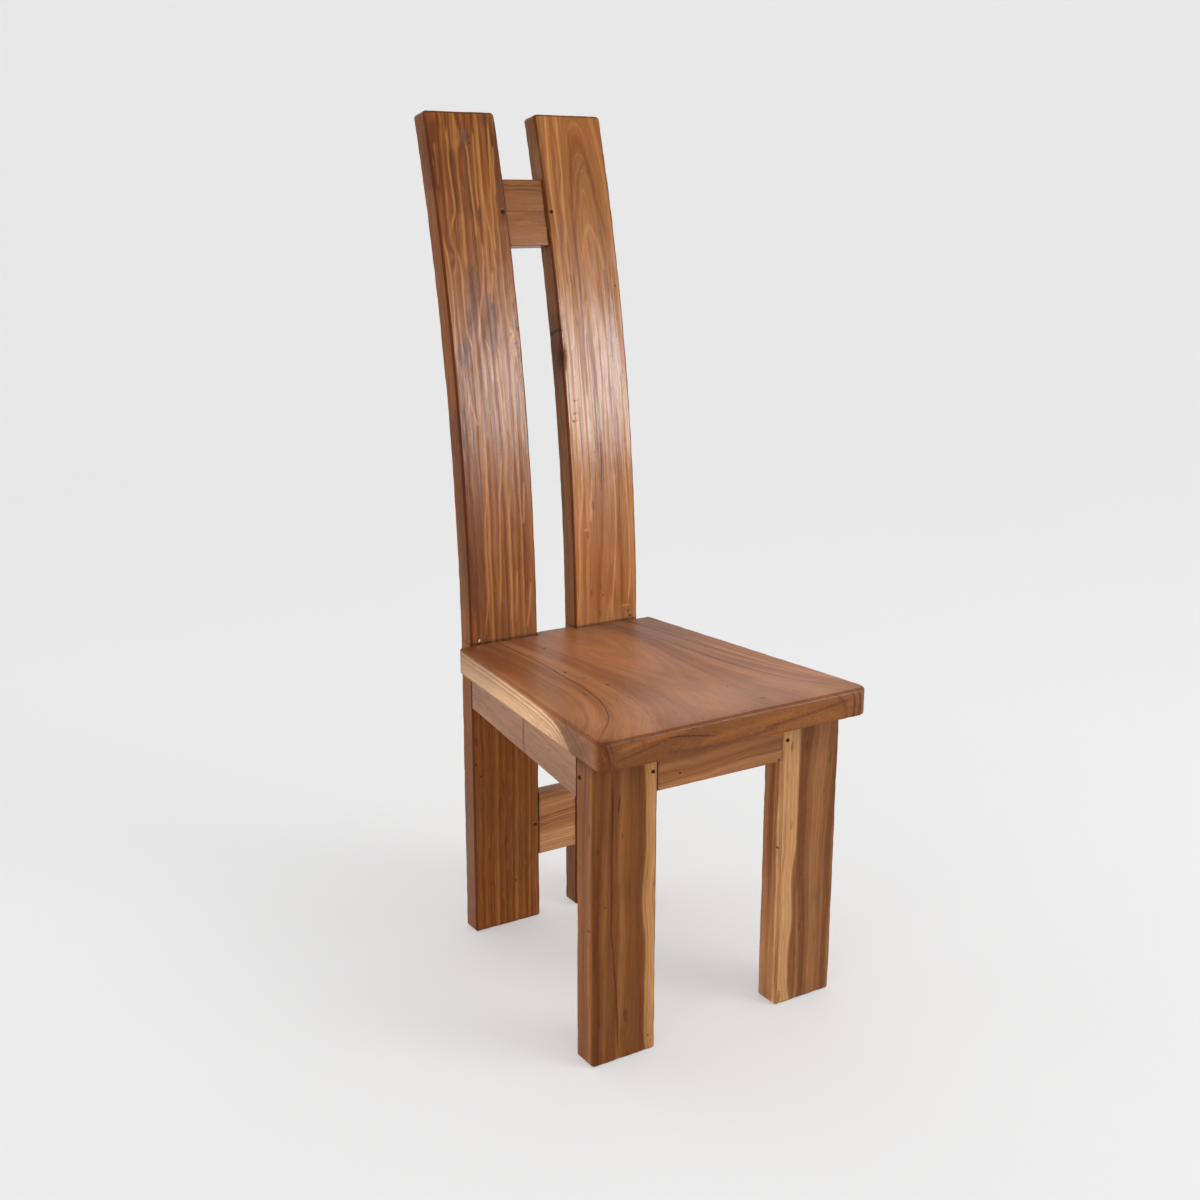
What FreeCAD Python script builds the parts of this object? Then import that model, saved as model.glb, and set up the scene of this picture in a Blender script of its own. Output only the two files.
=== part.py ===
import FreeCAD, Part
import math
import os
import re
import Sketcher

# High-back slab-wood chair. Every piece is drawn from one datum: the plane of the posts' front
# faces (Y = 0), the chair's middle (X = 0) and the floor (Z = 0). The finished pieces are then
# moved along Y together, so that the origin lies under the middle of the whole chair.

SIZES = {
    # Whole chair
    "seat_height": 460.0,
    "total_height": 1212.0,
    # Posts: one plank each, rear leg and back in one, upright below and bent back above
    "post_width": 113.5,
    "post_thickness": 33.0,
    "post_gap": 66.0,
    "bend_start": 407.0,
    "bend_radius": 2900.0,
    "top_drop": 6.0,
    # Front legs
    "leg_width": 98.0,
    "leg_thickness": 40.0,
    "front_spread": 399.0,
    "front_reach": 418.0,
    # Seat slab
    "seat_thickness": 40.0,
    "seat_depth": 457.5,
    "seat_front_width": 430.0,
    "seat_back_width": 335.0,
    "tongue_depth": 16.0,
    "tongue_clearance": 0.5,
    # Rails under the seat, the rear stretcher and the head block
    "rail_thickness": 22.0,
    "rail_setback": 1.0,
    "apron_height": 57.0,
    "stretcher_bottom": 103.5,
    "stretcher_height": 101.5,
    "block_below_top": 94.0,
    "block_height": 96.0,
    # Tenons and their mortises
    "tenon_thickness": 10.0,
    "tenon_length": 28.0,
    "stub_length": 23.0,
    "tenon_shoulder": 8.0,
    "stub_shoulder": 6.0,
    "fit_clearance": 0.2,
    "mortise_extra": 1.0,
    "cut_overrun": 5.0,
    # Wooden pins through the tenons
    "pin_radius": 2.5,
    "pin_length": 25.0,
    "pin_inset": 7.5,
    "pin_clearance": 0.15,
    # Corner blocks
    "corner_size": 30.0,
    "corner_height": 30.0,
    # Wood screws
    "screw_radius": 2.0,
    "screw_length": 42.0,
    "screw_head_radius": 4.0,
    "screw_head_height": 2.6,
    "screw_tip": 5.0,
    "screw_clearance": 0.2,
    "screw_near_share": 0.25,
    "screw_far_share": 0.75,
    "screw_low_share": 0.3,
    "screw_high_share": 0.7,
    # Nails in the posts' faces just above the seat
    "nail_radius": 1.1,
    "nail_length": 24.0,
    "nail_head_radius": 1.9,
    "nail_head_height": 1.0,
    "nail_tip": 2.0,
    "nail_inset": 14.0,
    "nail_rise": 5.0,
    # Softened edges
    "edge_round": 3.5,
    "corner_round": 6.0,
    "foot_round": 4.5,
    "seat_round": 5.0,
    "seat_front_round": 16.0,
    "seat_back_round": 8.0,
    "rail_round": 1.5,
}

# Places that several pieces share, as formulas of the sizes above
POST_INNER = "(post_gap / 2)"
POST_OUTER = "(post_gap / 2 + post_width)"
LEG_OUTER = "(front_spread / 2)"
LEG_INNER = "(front_spread / 2 - leg_width)"
LEG_FRONT = "(-front_reach)"
LEG_BACK = "(leg_thickness - front_reach)"
SEAT_UNDER = "(seat_height - seat_thickness)"
APRON_BOTTOM = f"({SEAT_UNDER} - apron_height)"
APRON_MIDDLE = f"({SEAT_UNDER} - apron_height / 2)"
SLANT = f"atan(({LEG_OUTER} - {POST_OUTER}) / (front_reach - leg_thickness))"
BACK_REACH = (
    "(bend_radius - sqrt((bend_radius - post_thickness) ^ 2"
    " - (total_height - top_drop - bend_start) ^ 2))"
)
CENTRE_SHIFT = f"((seat_depth - {BACK_REACH}) / 2)"
BLOCK_REACH = "(bend_radius - post_thickness / 2)"
BLOCK_MIDDLE = "(total_height - block_below_top - block_height / 2)"
BLOCK_RISE = f"({BLOCK_MIDDLE} - bend_start)"
BLOCK_DEPTH_PLACE = f"(bend_radius - sqrt({BLOCK_REACH} ^ 2 - {BLOCK_RISE} ^ 2))"
BLOCK_TILT = f"asin({BLOCK_RISE} / {BLOCK_REACH})"
CORNER_BOTTOM = f"({SEAT_UNDER} - corner_height)"

doc = FreeCAD.newDocument("high_back_chair")


def make_sheet():
    """Write the driving sizes into a sheet, one alias for each."""
    table = doc.addObject("Spreadsheet::Sheet", "Sizes")
    for row, (alias, size) in enumerate(SIZES.items(), start=1):
        table.set(f"A{row}", alias)
        table.set(f"B{row}", str(size))
        table.setAlias(f"B{row}", alias)
    doc.recompute()
    return table


sheet = make_sheet()

# How near a point has to be to a face to count as on it
ON_FACE_SHARE = 0.001
CLOSE = SIZES["rail_thickness"] * ON_FACE_SHARE


def formula(text):
    """Put the sheet's name before every alias in a formula."""
    return re.sub(r"[a-z]+(_[a-z]+)+", lambda word: "Sizes." + word.group(), text)


def value(text):
    """The number that a formula of lengths gives now."""
    return float(sheet.evalExpression(formula(text)))


def bind(thing, **settings):
    """Bind properties of an object to formulas."""
    for name, text in settings.items():
        thing.setExpression(name, formula(text))


def spot(x, y, z, axis="1; 0; 0", turn="0"):
    """Formula of a placement: a point and a turn about an axis."""
    return f"placement(vector({x}; {y}; {z}); rotation(vector({axis}); {turn}))"


# Sketches and body features


def new_body(name):
    """A body with its own origin."""
    return doc.addObject("PartDesign::Body", name)


def new_sketch(body, name, role, lift):
    """A sketch on one of the body's origin planes, lifted along the plane's normal."""
    plane = next(item for item in body.Origin.OriginFeatures if item.Role == role)
    sketch = body.newObject("Sketcher::SketchObject", name)
    sketch.AttachmentSupport = [(plane, "")]
    sketch.MapMode = "FlatFace"
    sketch.setExpression("AttachmentOffset.Base.z", formula(lift))
    return sketch


def pin_point(sketch, geometry, end, x=None, y=None):
    """Hold a sketch point at formulas of its two coordinates."""
    for kind, text in (("DistanceX", x), ("DistanceY", y)):
        if text is not None:
            place = sketch.addConstraint(
                Sketcher.Constraint(kind, -1, 1, geometry, end, value(text))
            )
            sketch.setExpression(f"Constraints[{place}]", formula(text))


def plan_outline(body, name, lift, corners):
    """A closed outline of straight lines in plan, each corner held by formulas."""
    sketch = new_sketch(body, name, "XY_Plane", lift)
    points = [FreeCAD.Vector(value(x), value(y), 0) for x, y in corners]
    count = len(points)
    for index in range(count):
        line = Part.LineSegment(points[index], points[(index + 1) % count])
        sketch.addGeometry(line, False)
    for index in range(count):
        link = Sketcher.Constraint("Coincident", index, 2, (index + 1) % count, 1)
        sketch.addConstraint(link)
        pin_point(sketch, index, 1, *corners[index])
    return sketch


def rectangle(left, right, front, back):
    """The four corners of a rectangle in plan."""
    return [(left, front), (right, front), (right, back), (left, back)]


def pad(body, sketch, length):
    """Raise a sketch into a solid."""
    feature = body.newObject("PartDesign::Pad", sketch.Name + "_pad")
    feature.Profile = sketch
    bind(feature, Length=length)
    doc.recompute()
    return feature


def soften(body, radius, wanted):
    """Round the edges of the body whose inner points all pass the test."""
    base = body.Tip
    names = []
    for number, edge in enumerate(base.Shape.Edges, start=1):
        if all(wanted(point) for point in edge.discretize(Number=5)[1:-1]):
            names.append(f"Edge{number}")
    feature = body.newObject("PartDesign::Fillet", body.Name + "_" + radius)
    feature.Base = (base, names)
    bind(feature, Radius=radius)
    doc.recompute()


def near_any(number, *places):
    """Whether a coordinate lies at one of the places."""
    return min(abs(number - place) for place in places) < CLOSE


# Tools for mortises and bores


def box_tool(name, frame, low, high):
    """A box between two corners given in a frame."""
    box = doc.addObject("Part::Box", name)
    sizes = [f"({top}) - ({bottom})" for bottom, top in zip(low, high)]
    bind(box, Length=sizes[0], Width=sizes[1], Height=sizes[2])
    bind(box, Placement=f"{frame} * {spot(*low)}")
    return box


def peg(name, place, radius, length):
    """A round peg or bore that starts at a placement and runs along its own axis."""
    cylinder = doc.addObject("Part::Cylinder", name)
    bind(cylinder, Radius=radius, Height=length, Placement=place)
    return cylinder


def fastener(name, place, kind, slack="0"):
    """A screw or nail with head, shank and point; with slack it is the bore for one."""
    shank = f"({kind}_radius + {slack})"
    head = doc.addObject("Part::Cone", name + "_head")
    bind(head, Radius1=f"{kind}_head_radius + {slack}", Radius2=shank)
    bind(head, Height=f"{kind}_head_height", Placement=place)
    rod = peg(name + "_rod", place, shank, f"{kind}_length - {kind}_tip")
    point = doc.addObject("Part::Cone", name + "_point")
    bind(point, Radius1=shank, Radius2="0", Height=f"{kind}_tip + {slack}")
    bind(point, Placement=f"{place} * {spot('0', '0', f'{kind}_length - {kind}_tip')}")
    whole = doc.addObject("Part::MultiFuse", name)
    whole.Shapes = [head, rod, point]
    return whole


def cut(name, base, tools):
    """Cut a group of tools out of a piece."""
    joined = doc.addObject("Part::MultiFuse", name + "_tools")
    joined.Shapes = tools
    result = doc.addObject("Part::Cut", name)
    result.Base = base
    result.Tool = joined
    return result


def mirrored(name, source):
    """The same piece for the other side of the chair."""
    result = doc.addObject("Part::Mirroring", name)
    result.Source = source
    result.Normal = FreeCAD.Vector(1, 0, 0)
    return result


def group(name, members):
    """Separate solids of one kind that share a node."""
    result = doc.addObject("Part::Compound", name)
    result.Links = members
    return result


# Rails: boards with a tenon at each end. Each has a frame of its own at the board's middle,
# and its mortises and pins are placed in that frame.

STRETCHER_MIDDLE = "(stretcher_bottom + stretcher_height / 2)"
BEHIND_POST_FACE = "(rail_setback + rail_thickness / 2)"
BEHIND_LEG_FACE = f"({LEG_FRONT} + rail_setback + rail_thickness / 2)"

RAILS = {
    "head_block": {
        "frame": spot("0", BLOCK_DEPTH_PLACE, BLOCK_MIDDLE, turn=f"-{BLOCK_TILT}"),
        "half": POST_INNER,
        "height": "block_height",
        "face": "(-post_thickness / 2)",
    },
    "rear_stretcher": {
        "frame": spot("0", BEHIND_POST_FACE, STRETCHER_MIDDLE),
        "half": POST_INNER,
        "height": "stretcher_height",
        "face": "(-rail_setback - rail_thickness / 2)",
    },
    "rear_apron": {
        "frame": spot("0", BEHIND_POST_FACE, APRON_MIDDLE),
        "half": POST_INNER,
        "height": "apron_height",
        "face": "(-rail_setback - rail_thickness / 2)",
    },
    "front_apron": {
        "frame": spot("0", BEHIND_LEG_FACE, APRON_MIDDLE),
        "half": LEG_INNER,
        "height": "apron_height",
        "face": "(-rail_setback - rail_thickness / 2)",
    },
}


def rail_pin(name, side, slack="0"):
    """A pin, or with slack its bore, through a rail's tenon from the upright's front face."""
    rail = RAILS[name]
    label = f"{name}_{'pin' if slack == '0' else 'bore'}_{'left' if side < 0 else 'right'}"
    across = f"{side} * ({rail['half']} + pin_inset)"
    start = spot(across, rail["face"], "0", turn="-90")
    reach = "pin_length" if slack == "0" else "pin_length + mortise_extra"
    return peg(label, f"{rail['frame']} * {start}", f"pin_radius + {slack}", reach)


def make_rail(name):
    """A board with two tenons, bored for its pins."""
    rail = RAILS[name]
    half, height = rail["half"], rail["height"]
    body = new_body(name + "_board")
    board = rectangle(f"-{half}", half, "-rail_thickness / 2", "rail_thickness / 2")
    pad(body, plan_outline(body, name + "_plan", f"-{height} / 2", board), height)
    face, top = value("rail_thickness / 2"), value(f"{height} / 2")

    def long_edge(point):
        return near_any(abs(point.y), face) and near_any(abs(point.z), top)

    soften(body, "rail_round", long_edge)
    end = f"({half} + tenon_length)"
    tongue = rectangle(f"-{end}", end, "-tenon_thickness / 2", "tenon_thickness / 2")
    tall = f"({height} - 2 * tenon_shoulder)"
    pad(body, plan_outline(body, name + "_tenons", f"-{tall} / 2", tongue), tall)
    bind(body, Placement=rail["frame"])
    bores = [rail_pin(name, side, "pin_clearance") for side in (-1, 1)]
    return cut(name, body, bores)


def rail_mortise(name):
    """The tool for the mortise that takes the rail's left tenon."""
    rail = RAILS[name]
    half_tall = f"({rail['height']} / 2 - tenon_shoulder + fit_clearance)"
    half_thick = "(tenon_thickness / 2 + fit_clearance)"
    low = (f"-{rail['half']} - tenon_length - mortise_extra", f"-{half_thick}", f"-{half_tall}")
    high = (f"-{rail['half']} + cut_overrun", half_thick, half_tall)
    return box_tool(name + "_mortise", rail["frame"], low, high)


# Side aprons: a slanted board, square tenons at both ends

STUB_LOW = f"({APRON_BOTTOM} + tenon_shoulder)"
STUB_HIGH = f"({SEAT_UNDER} - tenon_shoulder)"
STUBS = {
    "rear": (POST_OUTER, "0", "stub_length"),
    "front": (LEG_OUTER, LEG_BACK, f"({LEG_BACK} - stub_length)"),
}


def stub_plan(end, slack="0", extra="0", overrun="0"):
    """Plan of a side apron's tenon: its left and right faces, then its two ends."""
    outer, root, tip = STUBS[end]
    left = f"(stub_shoulder - {outer} - {slack})"
    right = f"(stub_shoulder + tenon_thickness - {outer} + {slack})"
    if end == "front":
        return left, right, f"({tip} - {extra})", f"({root} + {overrun})"
    return left, right, f"({root} - {overrun})", f"({tip} + {extra})"


def stub_mortise(end):
    """The tool for the mortise that takes one tenon of the left side apron."""
    left, right, front, back = stub_plan(end, "fit_clearance", "mortise_extra", "cut_overrun")
    low = (left, front, f"({STUB_LOW} - fit_clearance)")
    high = (right, back, f"({STUB_HIGH} + fit_clearance)")
    return box_tool(f"side_apron_{end}_mortise", spot("0", "0", "0"), low, high)


def side_pin(side, slack="0"):
    """A pin, or with slack its bore, through the front leg's side into the side apron's tenon."""
    label = f"side_apron_{'pin' if slack == '0' else 'bore'}_{'left' if side < 0 else 'right'}"
    reach = "stub_length" if slack == "0" else "stub_length + mortise_extra"
    along = f"({LEG_BACK} - pin_inset)"
    place = spot(f"{side} * {LEG_OUTER}", along, APRON_MIDDLE, "0; 1; 0", f"{-side * 90}")
    return peg(label, place, f"pin_radius + {slack}", reach)


def make_side_apron():
    """The left side apron before the screws are bored."""
    body = new_body("side_apron_board")
    across = f"rail_thickness / cos({SLANT})"
    plan = [
        (f"-{POST_OUTER}", "0"),
        (f"-{LEG_OUTER}", LEG_BACK),
        (f"{across} - {LEG_OUTER}", LEG_BACK),
        (f"{across} - {POST_OUTER}", "0"),
    ]
    pad(body, plan_outline(body, "side_apron_plan", APRON_BOTTOM, plan), "apron_height")
    for end in STUBS:
        corners = rectangle(*stub_plan(end))
        sketch = plan_outline(body, f"side_apron_{end}_stub", STUB_LOW, corners)
        pad(body, sketch, f"{STUB_HIGH} - {STUB_LOW}")
    return body


# Corner blocks and their screws. A block is a parallelogram in plan: one face lies on the side
# apron, one on the upright, and the seat rests on its top.

INNER_FACE = f"(rail_thickness / cos({SLANT}))"
CORNERS = {
    "front": {"x": f"({INNER_FACE} - {LEG_OUTER})", "y": LEG_BACK, "way": 1},
    "rear": {"x": f"({INNER_FACE} - {POST_OUTER})", "y": "0", "way": -1},
}
ALONG_X = f"(corner_size * sin({SLANT}))"
ALONG_Y = f"(corner_size * cos({SLANT}))"


def corner_point(end, out, along):
    """A point of a left corner block in plan, from shares of its two sides."""
    corner = CORNERS[end]
    x = f"({corner['x']} + {out} * corner_size + {along} * {corner['way']} * {ALONG_X})"
    y = f"({corner['y']} + {along} * {corner['way']} * {ALONG_Y})"
    return x, y


def make_corner_block(end):
    """A left corner block before its screws are bored."""
    body = new_body(f"corner_block_{end}_stock")
    ring = [("0", "0"), ("1", "0"), ("1", "1"), ("0", "1")]
    plan = [corner_point(end, out, along) for out, along in ring]
    sketch = plan_outline(body, f"corner_block_{end}_plan", CORNER_BOTTOM, plan)
    pad(body, sketch, "corner_height")
    return body


def screw_places(end):
    """Where a left corner block's three screws start, and which way each one runs."""
    low = f"({CORNER_BOTTOM} + screw_low_share * corner_height)"
    high = f"({CORNER_BOTTOM} + screw_high_share * corner_height)"
    middle = "(screw_near_share + screw_far_share) / 2"
    seat_x, seat_y = corner_point(end, middle, middle)
    apron_x, apron_y = corner_point(end, "1", "screw_near_share")
    upright_x, upright_y = corner_point(end, "screw_far_share", "1")
    outward = spot("0", "0", "0", "0; 1; 0", "-90")
    return {
        "seat": spot(seat_x, seat_y, CORNER_BOTTOM),
        "apron": f"{spot(apron_x, apron_y, low, '0; 0; 1', f'-{SLANT}')} * {outward}",
        "upright": spot(upright_x, upright_y, high, turn=f"{CORNERS[end]['way'] * 90}"),
    }


def make_screws():
    """All screws of the left corner blocks, and the bores for them, by end and purpose."""
    screws = {}
    bores = {}
    for end in CORNERS:
        for purpose, place in screw_places(end).items():
            key = (end, purpose)
            screws[key] = fastener(f"screw_{end}_{purpose}", place, "screw")
            name = f"screw_bore_{end}_{purpose}"
            bores[key] = fastener(name, place, "screw", "screw_clearance")
    return screws, bores


# Posts, front legs and seat


def nail_place(side):
    """Where a nail starts in a post's front face."""
    across = f"{side} * ({POST_OUTER} - nail_inset)"
    return spot(across, "0", "seat_height + nail_rise", turn="-90")


def post_profile(body):
    """Side view of a post: upright to the bend, then two arcs about one centre."""
    sketch = new_sketch(body, "post_profile", "YZ_Plane", f"-{POST_OUTER}")
    bend, radius = value("bend_start"), value("bend_radius")
    thick, top = value("post_thickness"), value("total_height")
    back_top = top - value("top_drop")
    centre = FreeCAD.Vector(radius, bend, 0)
    upward = FreeCAD.Vector(0, 0, 1)
    front_end = math.pi - math.asin((top - bend) / radius)
    back_end = math.pi - math.asin((back_top - bend) / (radius - thick))
    front_arc = Part.ArcOfCircle(Part.Circle(centre, upward, radius), front_end, math.pi)
    back_circle = Part.Circle(centre, upward, radius - thick)
    back_arc = Part.ArcOfCircle(back_circle, back_end, math.pi)
    foot = FreeCAD.Vector(0, 0, 0)
    heel = FreeCAD.Vector(thick, 0, 0)
    front_knee = FreeCAD.Vector(0, bend, 0)
    back_knee = FreeCAD.Vector(thick, bend, 0)
    pieces = [
        Part.LineSegment(foot, front_knee),
        front_arc,
        Part.LineSegment(front_arc.StartPoint, back_arc.StartPoint),
        back_arc,
        Part.LineSegment(back_knee, heel),
        Part.LineSegment(heel, foot),
    ]
    sketch.addGeometry(pieces, False)
    joins = [(0, 2, 1, 2), (1, 1, 2, 1), (2, 2, 3, 1), (3, 2, 4, 1), (4, 2, 5, 1), (5, 2, 0, 1)]
    for join in joins:
        sketch.addConstraint(Sketcher.Constraint("Coincident", *join))
    sketch.addConstraint(Sketcher.Constraint("Coincident", 3, 3, 1, 3))
    sketch.addConstraint(Sketcher.Constraint("Coincident", 0, 1, -1, 1))
    sketch.addConstraint(Sketcher.Constraint("Vertical", 0))
    sketch.addConstraint(Sketcher.Constraint("Vertical", 4))
    sketch.addConstraint(Sketcher.Constraint("Horizontal", 5))
    pin_point(sketch, 0, 2, y="bend_start")
    pin_point(sketch, 4, 1, x="post_thickness", y="bend_start")
    pin_point(sketch, 1, 3, x="bend_radius", y="bend_start")
    pin_point(sketch, 2, 1, y="total_height")
    pin_point(sketch, 2, 2, y="total_height - top_drop")
    return sketch


def make_post():
    """The left post before anything is cut into it."""
    body = new_body("post_plank")
    pad(body, post_profile(body), "post_width")
    bend, radius = value("bend_start"), value("bend_radius")
    thick, top = value("post_thickness"), value("total_height - top_drop")
    sides = value(f"-{POST_OUTER}"), value(f"-{POST_INNER}")

    def top_corner(point):
        return near_any(point.x, *sides) and point.z > top - CLOSE

    def foot_corner(point):
        return near_any(point.x, *sides) and near_any(point.z, 0)

    def on_broad_face(point):
        depth = point.y
        if point.z > bend:
            depth = radius - math.hypot(radius - point.y, point.z - bend)
        return near_any(depth, 0, thick)

    soften(body, "corner_round", top_corner)
    soften(body, "foot_round", foot_corner)
    soften(body, "edge_round", on_broad_face)
    return body


def make_front_leg():
    """The left front leg before anything is cut into it."""
    body = new_body("front_leg_plank")
    corners = rectangle(f"-{LEG_OUTER}", f"-{LEG_INNER}", LEG_FRONT, LEG_BACK)
    pad(body, plan_outline(body, "front_leg_plan", "0", corners), SEAT_UNDER)
    sides = value(f"-{LEG_OUTER}"), value(f"-{LEG_INNER}")
    faces = value(LEG_FRONT), value(LEG_BACK)
    top = value(SEAT_UNDER)

    def foot_corner(point):
        return near_any(point.x, *sides) and near_any(point.z, 0)

    def on_broad_face(point):
        return near_any(point.y, *faces) and point.z < top - CLOSE

    soften(body, "foot_round", foot_corner)
    soften(body, "edge_round", on_broad_face)
    return body


def make_seat():
    """The seat slab before the screws are bored: wider in front, a tongue between the posts."""
    body = new_body("seat_plank")
    tongue = f"({POST_INNER} - tongue_clearance)"
    right_half = [
        ("seat_front_width / 2", "-seat_depth"),
        ("seat_back_width / 2", "0"),
        (tongue, "0"),
        (tongue, "tongue_depth"),
    ]
    left_half = [(f"-{x}", y) for x, y in reversed(right_half)]
    sketch = plan_outline(body, "seat_plan", SEAT_UNDER, right_half + left_half)
    pad(body, sketch, "seat_thickness")
    front, half_front = value("-seat_depth"), value("seat_front_width / 2")
    half_back = value("seat_back_width / 2")
    heights = value(SEAT_UNDER), value("seat_height")

    def front_corner(point):
        return near_any(point.y, front) and near_any(abs(point.x), half_front)

    def back_corner(point):
        return near_any(point.y, 0) and near_any(abs(point.x), half_back)

    def on_broad_face(point):
        return near_any(point.z, *heights)

    soften(body, "seat_front_round", front_corner)
    soften(body, "seat_back_round", back_corner)
    soften(body, "seat_round", on_broad_face)
    return body


# Assembly


def left_bores(names):
    """The pin bores on the chair's left side for some rails."""
    return [rail_pin(name, -1, "pin_clearance") for name in names]


def make_twins(bores):
    """The pieces of the left side that have a twin on the right."""
    behind = [name for name in RAILS if name != "front_apron"]
    post_tools = [rail_mortise(name) for name in behind] + left_bores(behind)
    post_tools.append(fastener("nail_bore_left", nail_place(-1), "nail", "pin_clearance"))
    post_tools += [stub_mortise("rear"), bores["rear", "upright"]]
    leg_bore = side_pin(-1, "pin_clearance")
    leg_tools = [rail_mortise("front_apron"), stub_mortise("front"), leg_bore]
    leg_tools += left_bores(["front_apron"]) + [bores["front", "upright"]]
    apron_tools = [leg_bore] + [bores[end, "apron"] for end in CORNERS]
    twins = {
        "post": (make_post(), post_tools),
        "front_leg": (make_front_leg(), leg_tools),
        "side_apron": (make_side_apron(), apron_tools),
    }
    for end in CORNERS:
        own = [tool for key, tool in bores.items() if key[0] == end]
        twins[f"corner_block_{end}"] = (make_corner_block(end), own)
    return [cut(f"{name}_left", base, tools) for name, (base, tools) in twins.items()]


def both_sides(members):
    """Pieces of the left side together with their mirror images."""
    return members + [mirrored(member.Name + "_twin", member) for member in members]


def make_chair():
    """Every sub-part of the chair, placed about the origin."""
    screws, bores = make_screws()
    twins = make_twins(bores)
    seat_bores = both_sides([bores[end, "seat"] for end in CORNERS])
    parts = twins + [make_rail(name) for name in RAILS]
    parts.append(cut("seat_slab", make_seat(), seat_bores))
    for name in RAILS:
        parts.append(group(f"{name}_pins", [rail_pin(name, side) for side in (-1, 1)]))
    parts.append(group("side_apron_pins", [side_pin(side) for side in (-1, 1)]))
    for purpose, members in (("seat", ["seat"]), ("corner_block", ["apron", "upright"])):
        chosen = [screws[end, member] for end in CORNERS for member in members]
        parts.append(group(f"{purpose}_screws", both_sides(chosen)))
    nail_left = fastener("nail_left", nail_place(-1), "nail")
    nail_right = fastener("nail_right", nail_place(1), "nail")
    parts.append(group("post_nails", [nail_left, nail_right]))
    for part in parts:
        bind(part, **{"Placement.Base.y": CENTRE_SHIFT})
    return parts + [mirrored(twin.Name.replace("left", "right"), twin) for twin in twins]


def check(parts):
    """Stop unless every feature was made and every sub-part is a sound solid."""
    for thing in doc.Objects:
        if {"Invalid", "Error"} & set(thing.State):
            raise RuntimeError(f"{thing.Label} failed: {thing.State}")
        if thing.TypeId == "Part::Cut" and thing.Shape.Volume >= thing.Base.Shape.Volume:
            raise RuntimeError(f"nothing was cut from {thing.Label}")
    for part in parts:
        if part.Shape.isNull() or not part.Shape.isValid() or not part.Shape.Solids:
            raise RuntimeError(f"{part.Label} has no sound solid")


parts = make_chair()
doc.recompute()
check(parts)
os.makedirs("parts", exist_ok=True)
for part in parts:
    part.Shape.exportStep(f"parts/{part.Label}.step")
    box = part.Shape.BoundBox
    print(
        f"{part.Label}: {len(part.Shape.Solids)} solid(s), {part.Shape.Volume / 1000:.1f} cm3,"
        f" x {box.XMin:.1f} {box.XMax:.1f}, y {box.YMin:.1f} {box.YMax:.1f},"
        f" z {box.ZMin:.1f} {box.ZMax:.1f}"
    )
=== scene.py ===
import math

import bpy
import numpy as np
from mathutils import Matrix, Vector
from mathutils import noise as perlin


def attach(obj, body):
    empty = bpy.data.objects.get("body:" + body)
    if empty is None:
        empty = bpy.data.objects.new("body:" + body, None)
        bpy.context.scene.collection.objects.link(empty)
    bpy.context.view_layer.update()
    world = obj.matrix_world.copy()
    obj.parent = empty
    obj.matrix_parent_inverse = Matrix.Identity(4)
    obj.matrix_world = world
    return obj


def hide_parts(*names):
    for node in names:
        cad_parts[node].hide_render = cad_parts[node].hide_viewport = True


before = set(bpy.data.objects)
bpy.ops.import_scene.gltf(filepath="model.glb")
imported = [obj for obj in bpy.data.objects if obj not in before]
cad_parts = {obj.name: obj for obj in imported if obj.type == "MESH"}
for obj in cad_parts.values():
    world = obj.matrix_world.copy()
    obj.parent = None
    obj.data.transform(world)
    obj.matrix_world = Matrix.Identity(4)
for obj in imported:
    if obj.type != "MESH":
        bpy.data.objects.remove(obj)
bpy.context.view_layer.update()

# Sizes of the chair, in millimetres in the CAD frame: X across, Y from front to back, Z up.
MM = 0.001
POST_FACE = 155.457
POST_INNER = 33.0
POST_WIDTH = 113.5
POST_THICKNESS = 33.0
POST_TOP = 1212.0
TOP_DROP = 6.0
BEND_START = 407.0
BEND_RADIUS = 2900.0
LEG_INNER = 101.5
LEG_WIDTH = 98.0
LEG_THICKNESS = 40.0
LEG_FACE = POST_FACE - 418.0
SEAT_TOP = 460.0
SEAT_THICKNESS = 40.0
SEAT_UNDER = SEAT_TOP - SEAT_THICKNESS
SEAT_DEPTH = 457.5
SEAT_HALF_FRONT = 215.0
SEAT_HALF_BACK = 167.5
TONGUE_DEPTH = 16.0
TONGUE_HALF = 32.5
TONGUE_START = 18.0
TONGUE_RAMP = 10.0
RAIL_THICKNESS = 22.0
RAIL_SETBACK = 1.0
APRON_HEIGHT = 57.0
STRETCHER_BOTTOM = 103.5
STRETCHER_HEIGHT = 101.5
BLOCK_MIDDLE = 1070.0
BLOCK_HEIGHT = 96.0
CORNER_SIZE = 30.0
PIN_INSET = 7.5
NAIL_INSET = 14.0
NAIL_RISE = 5.0


# Node graphs


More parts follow.
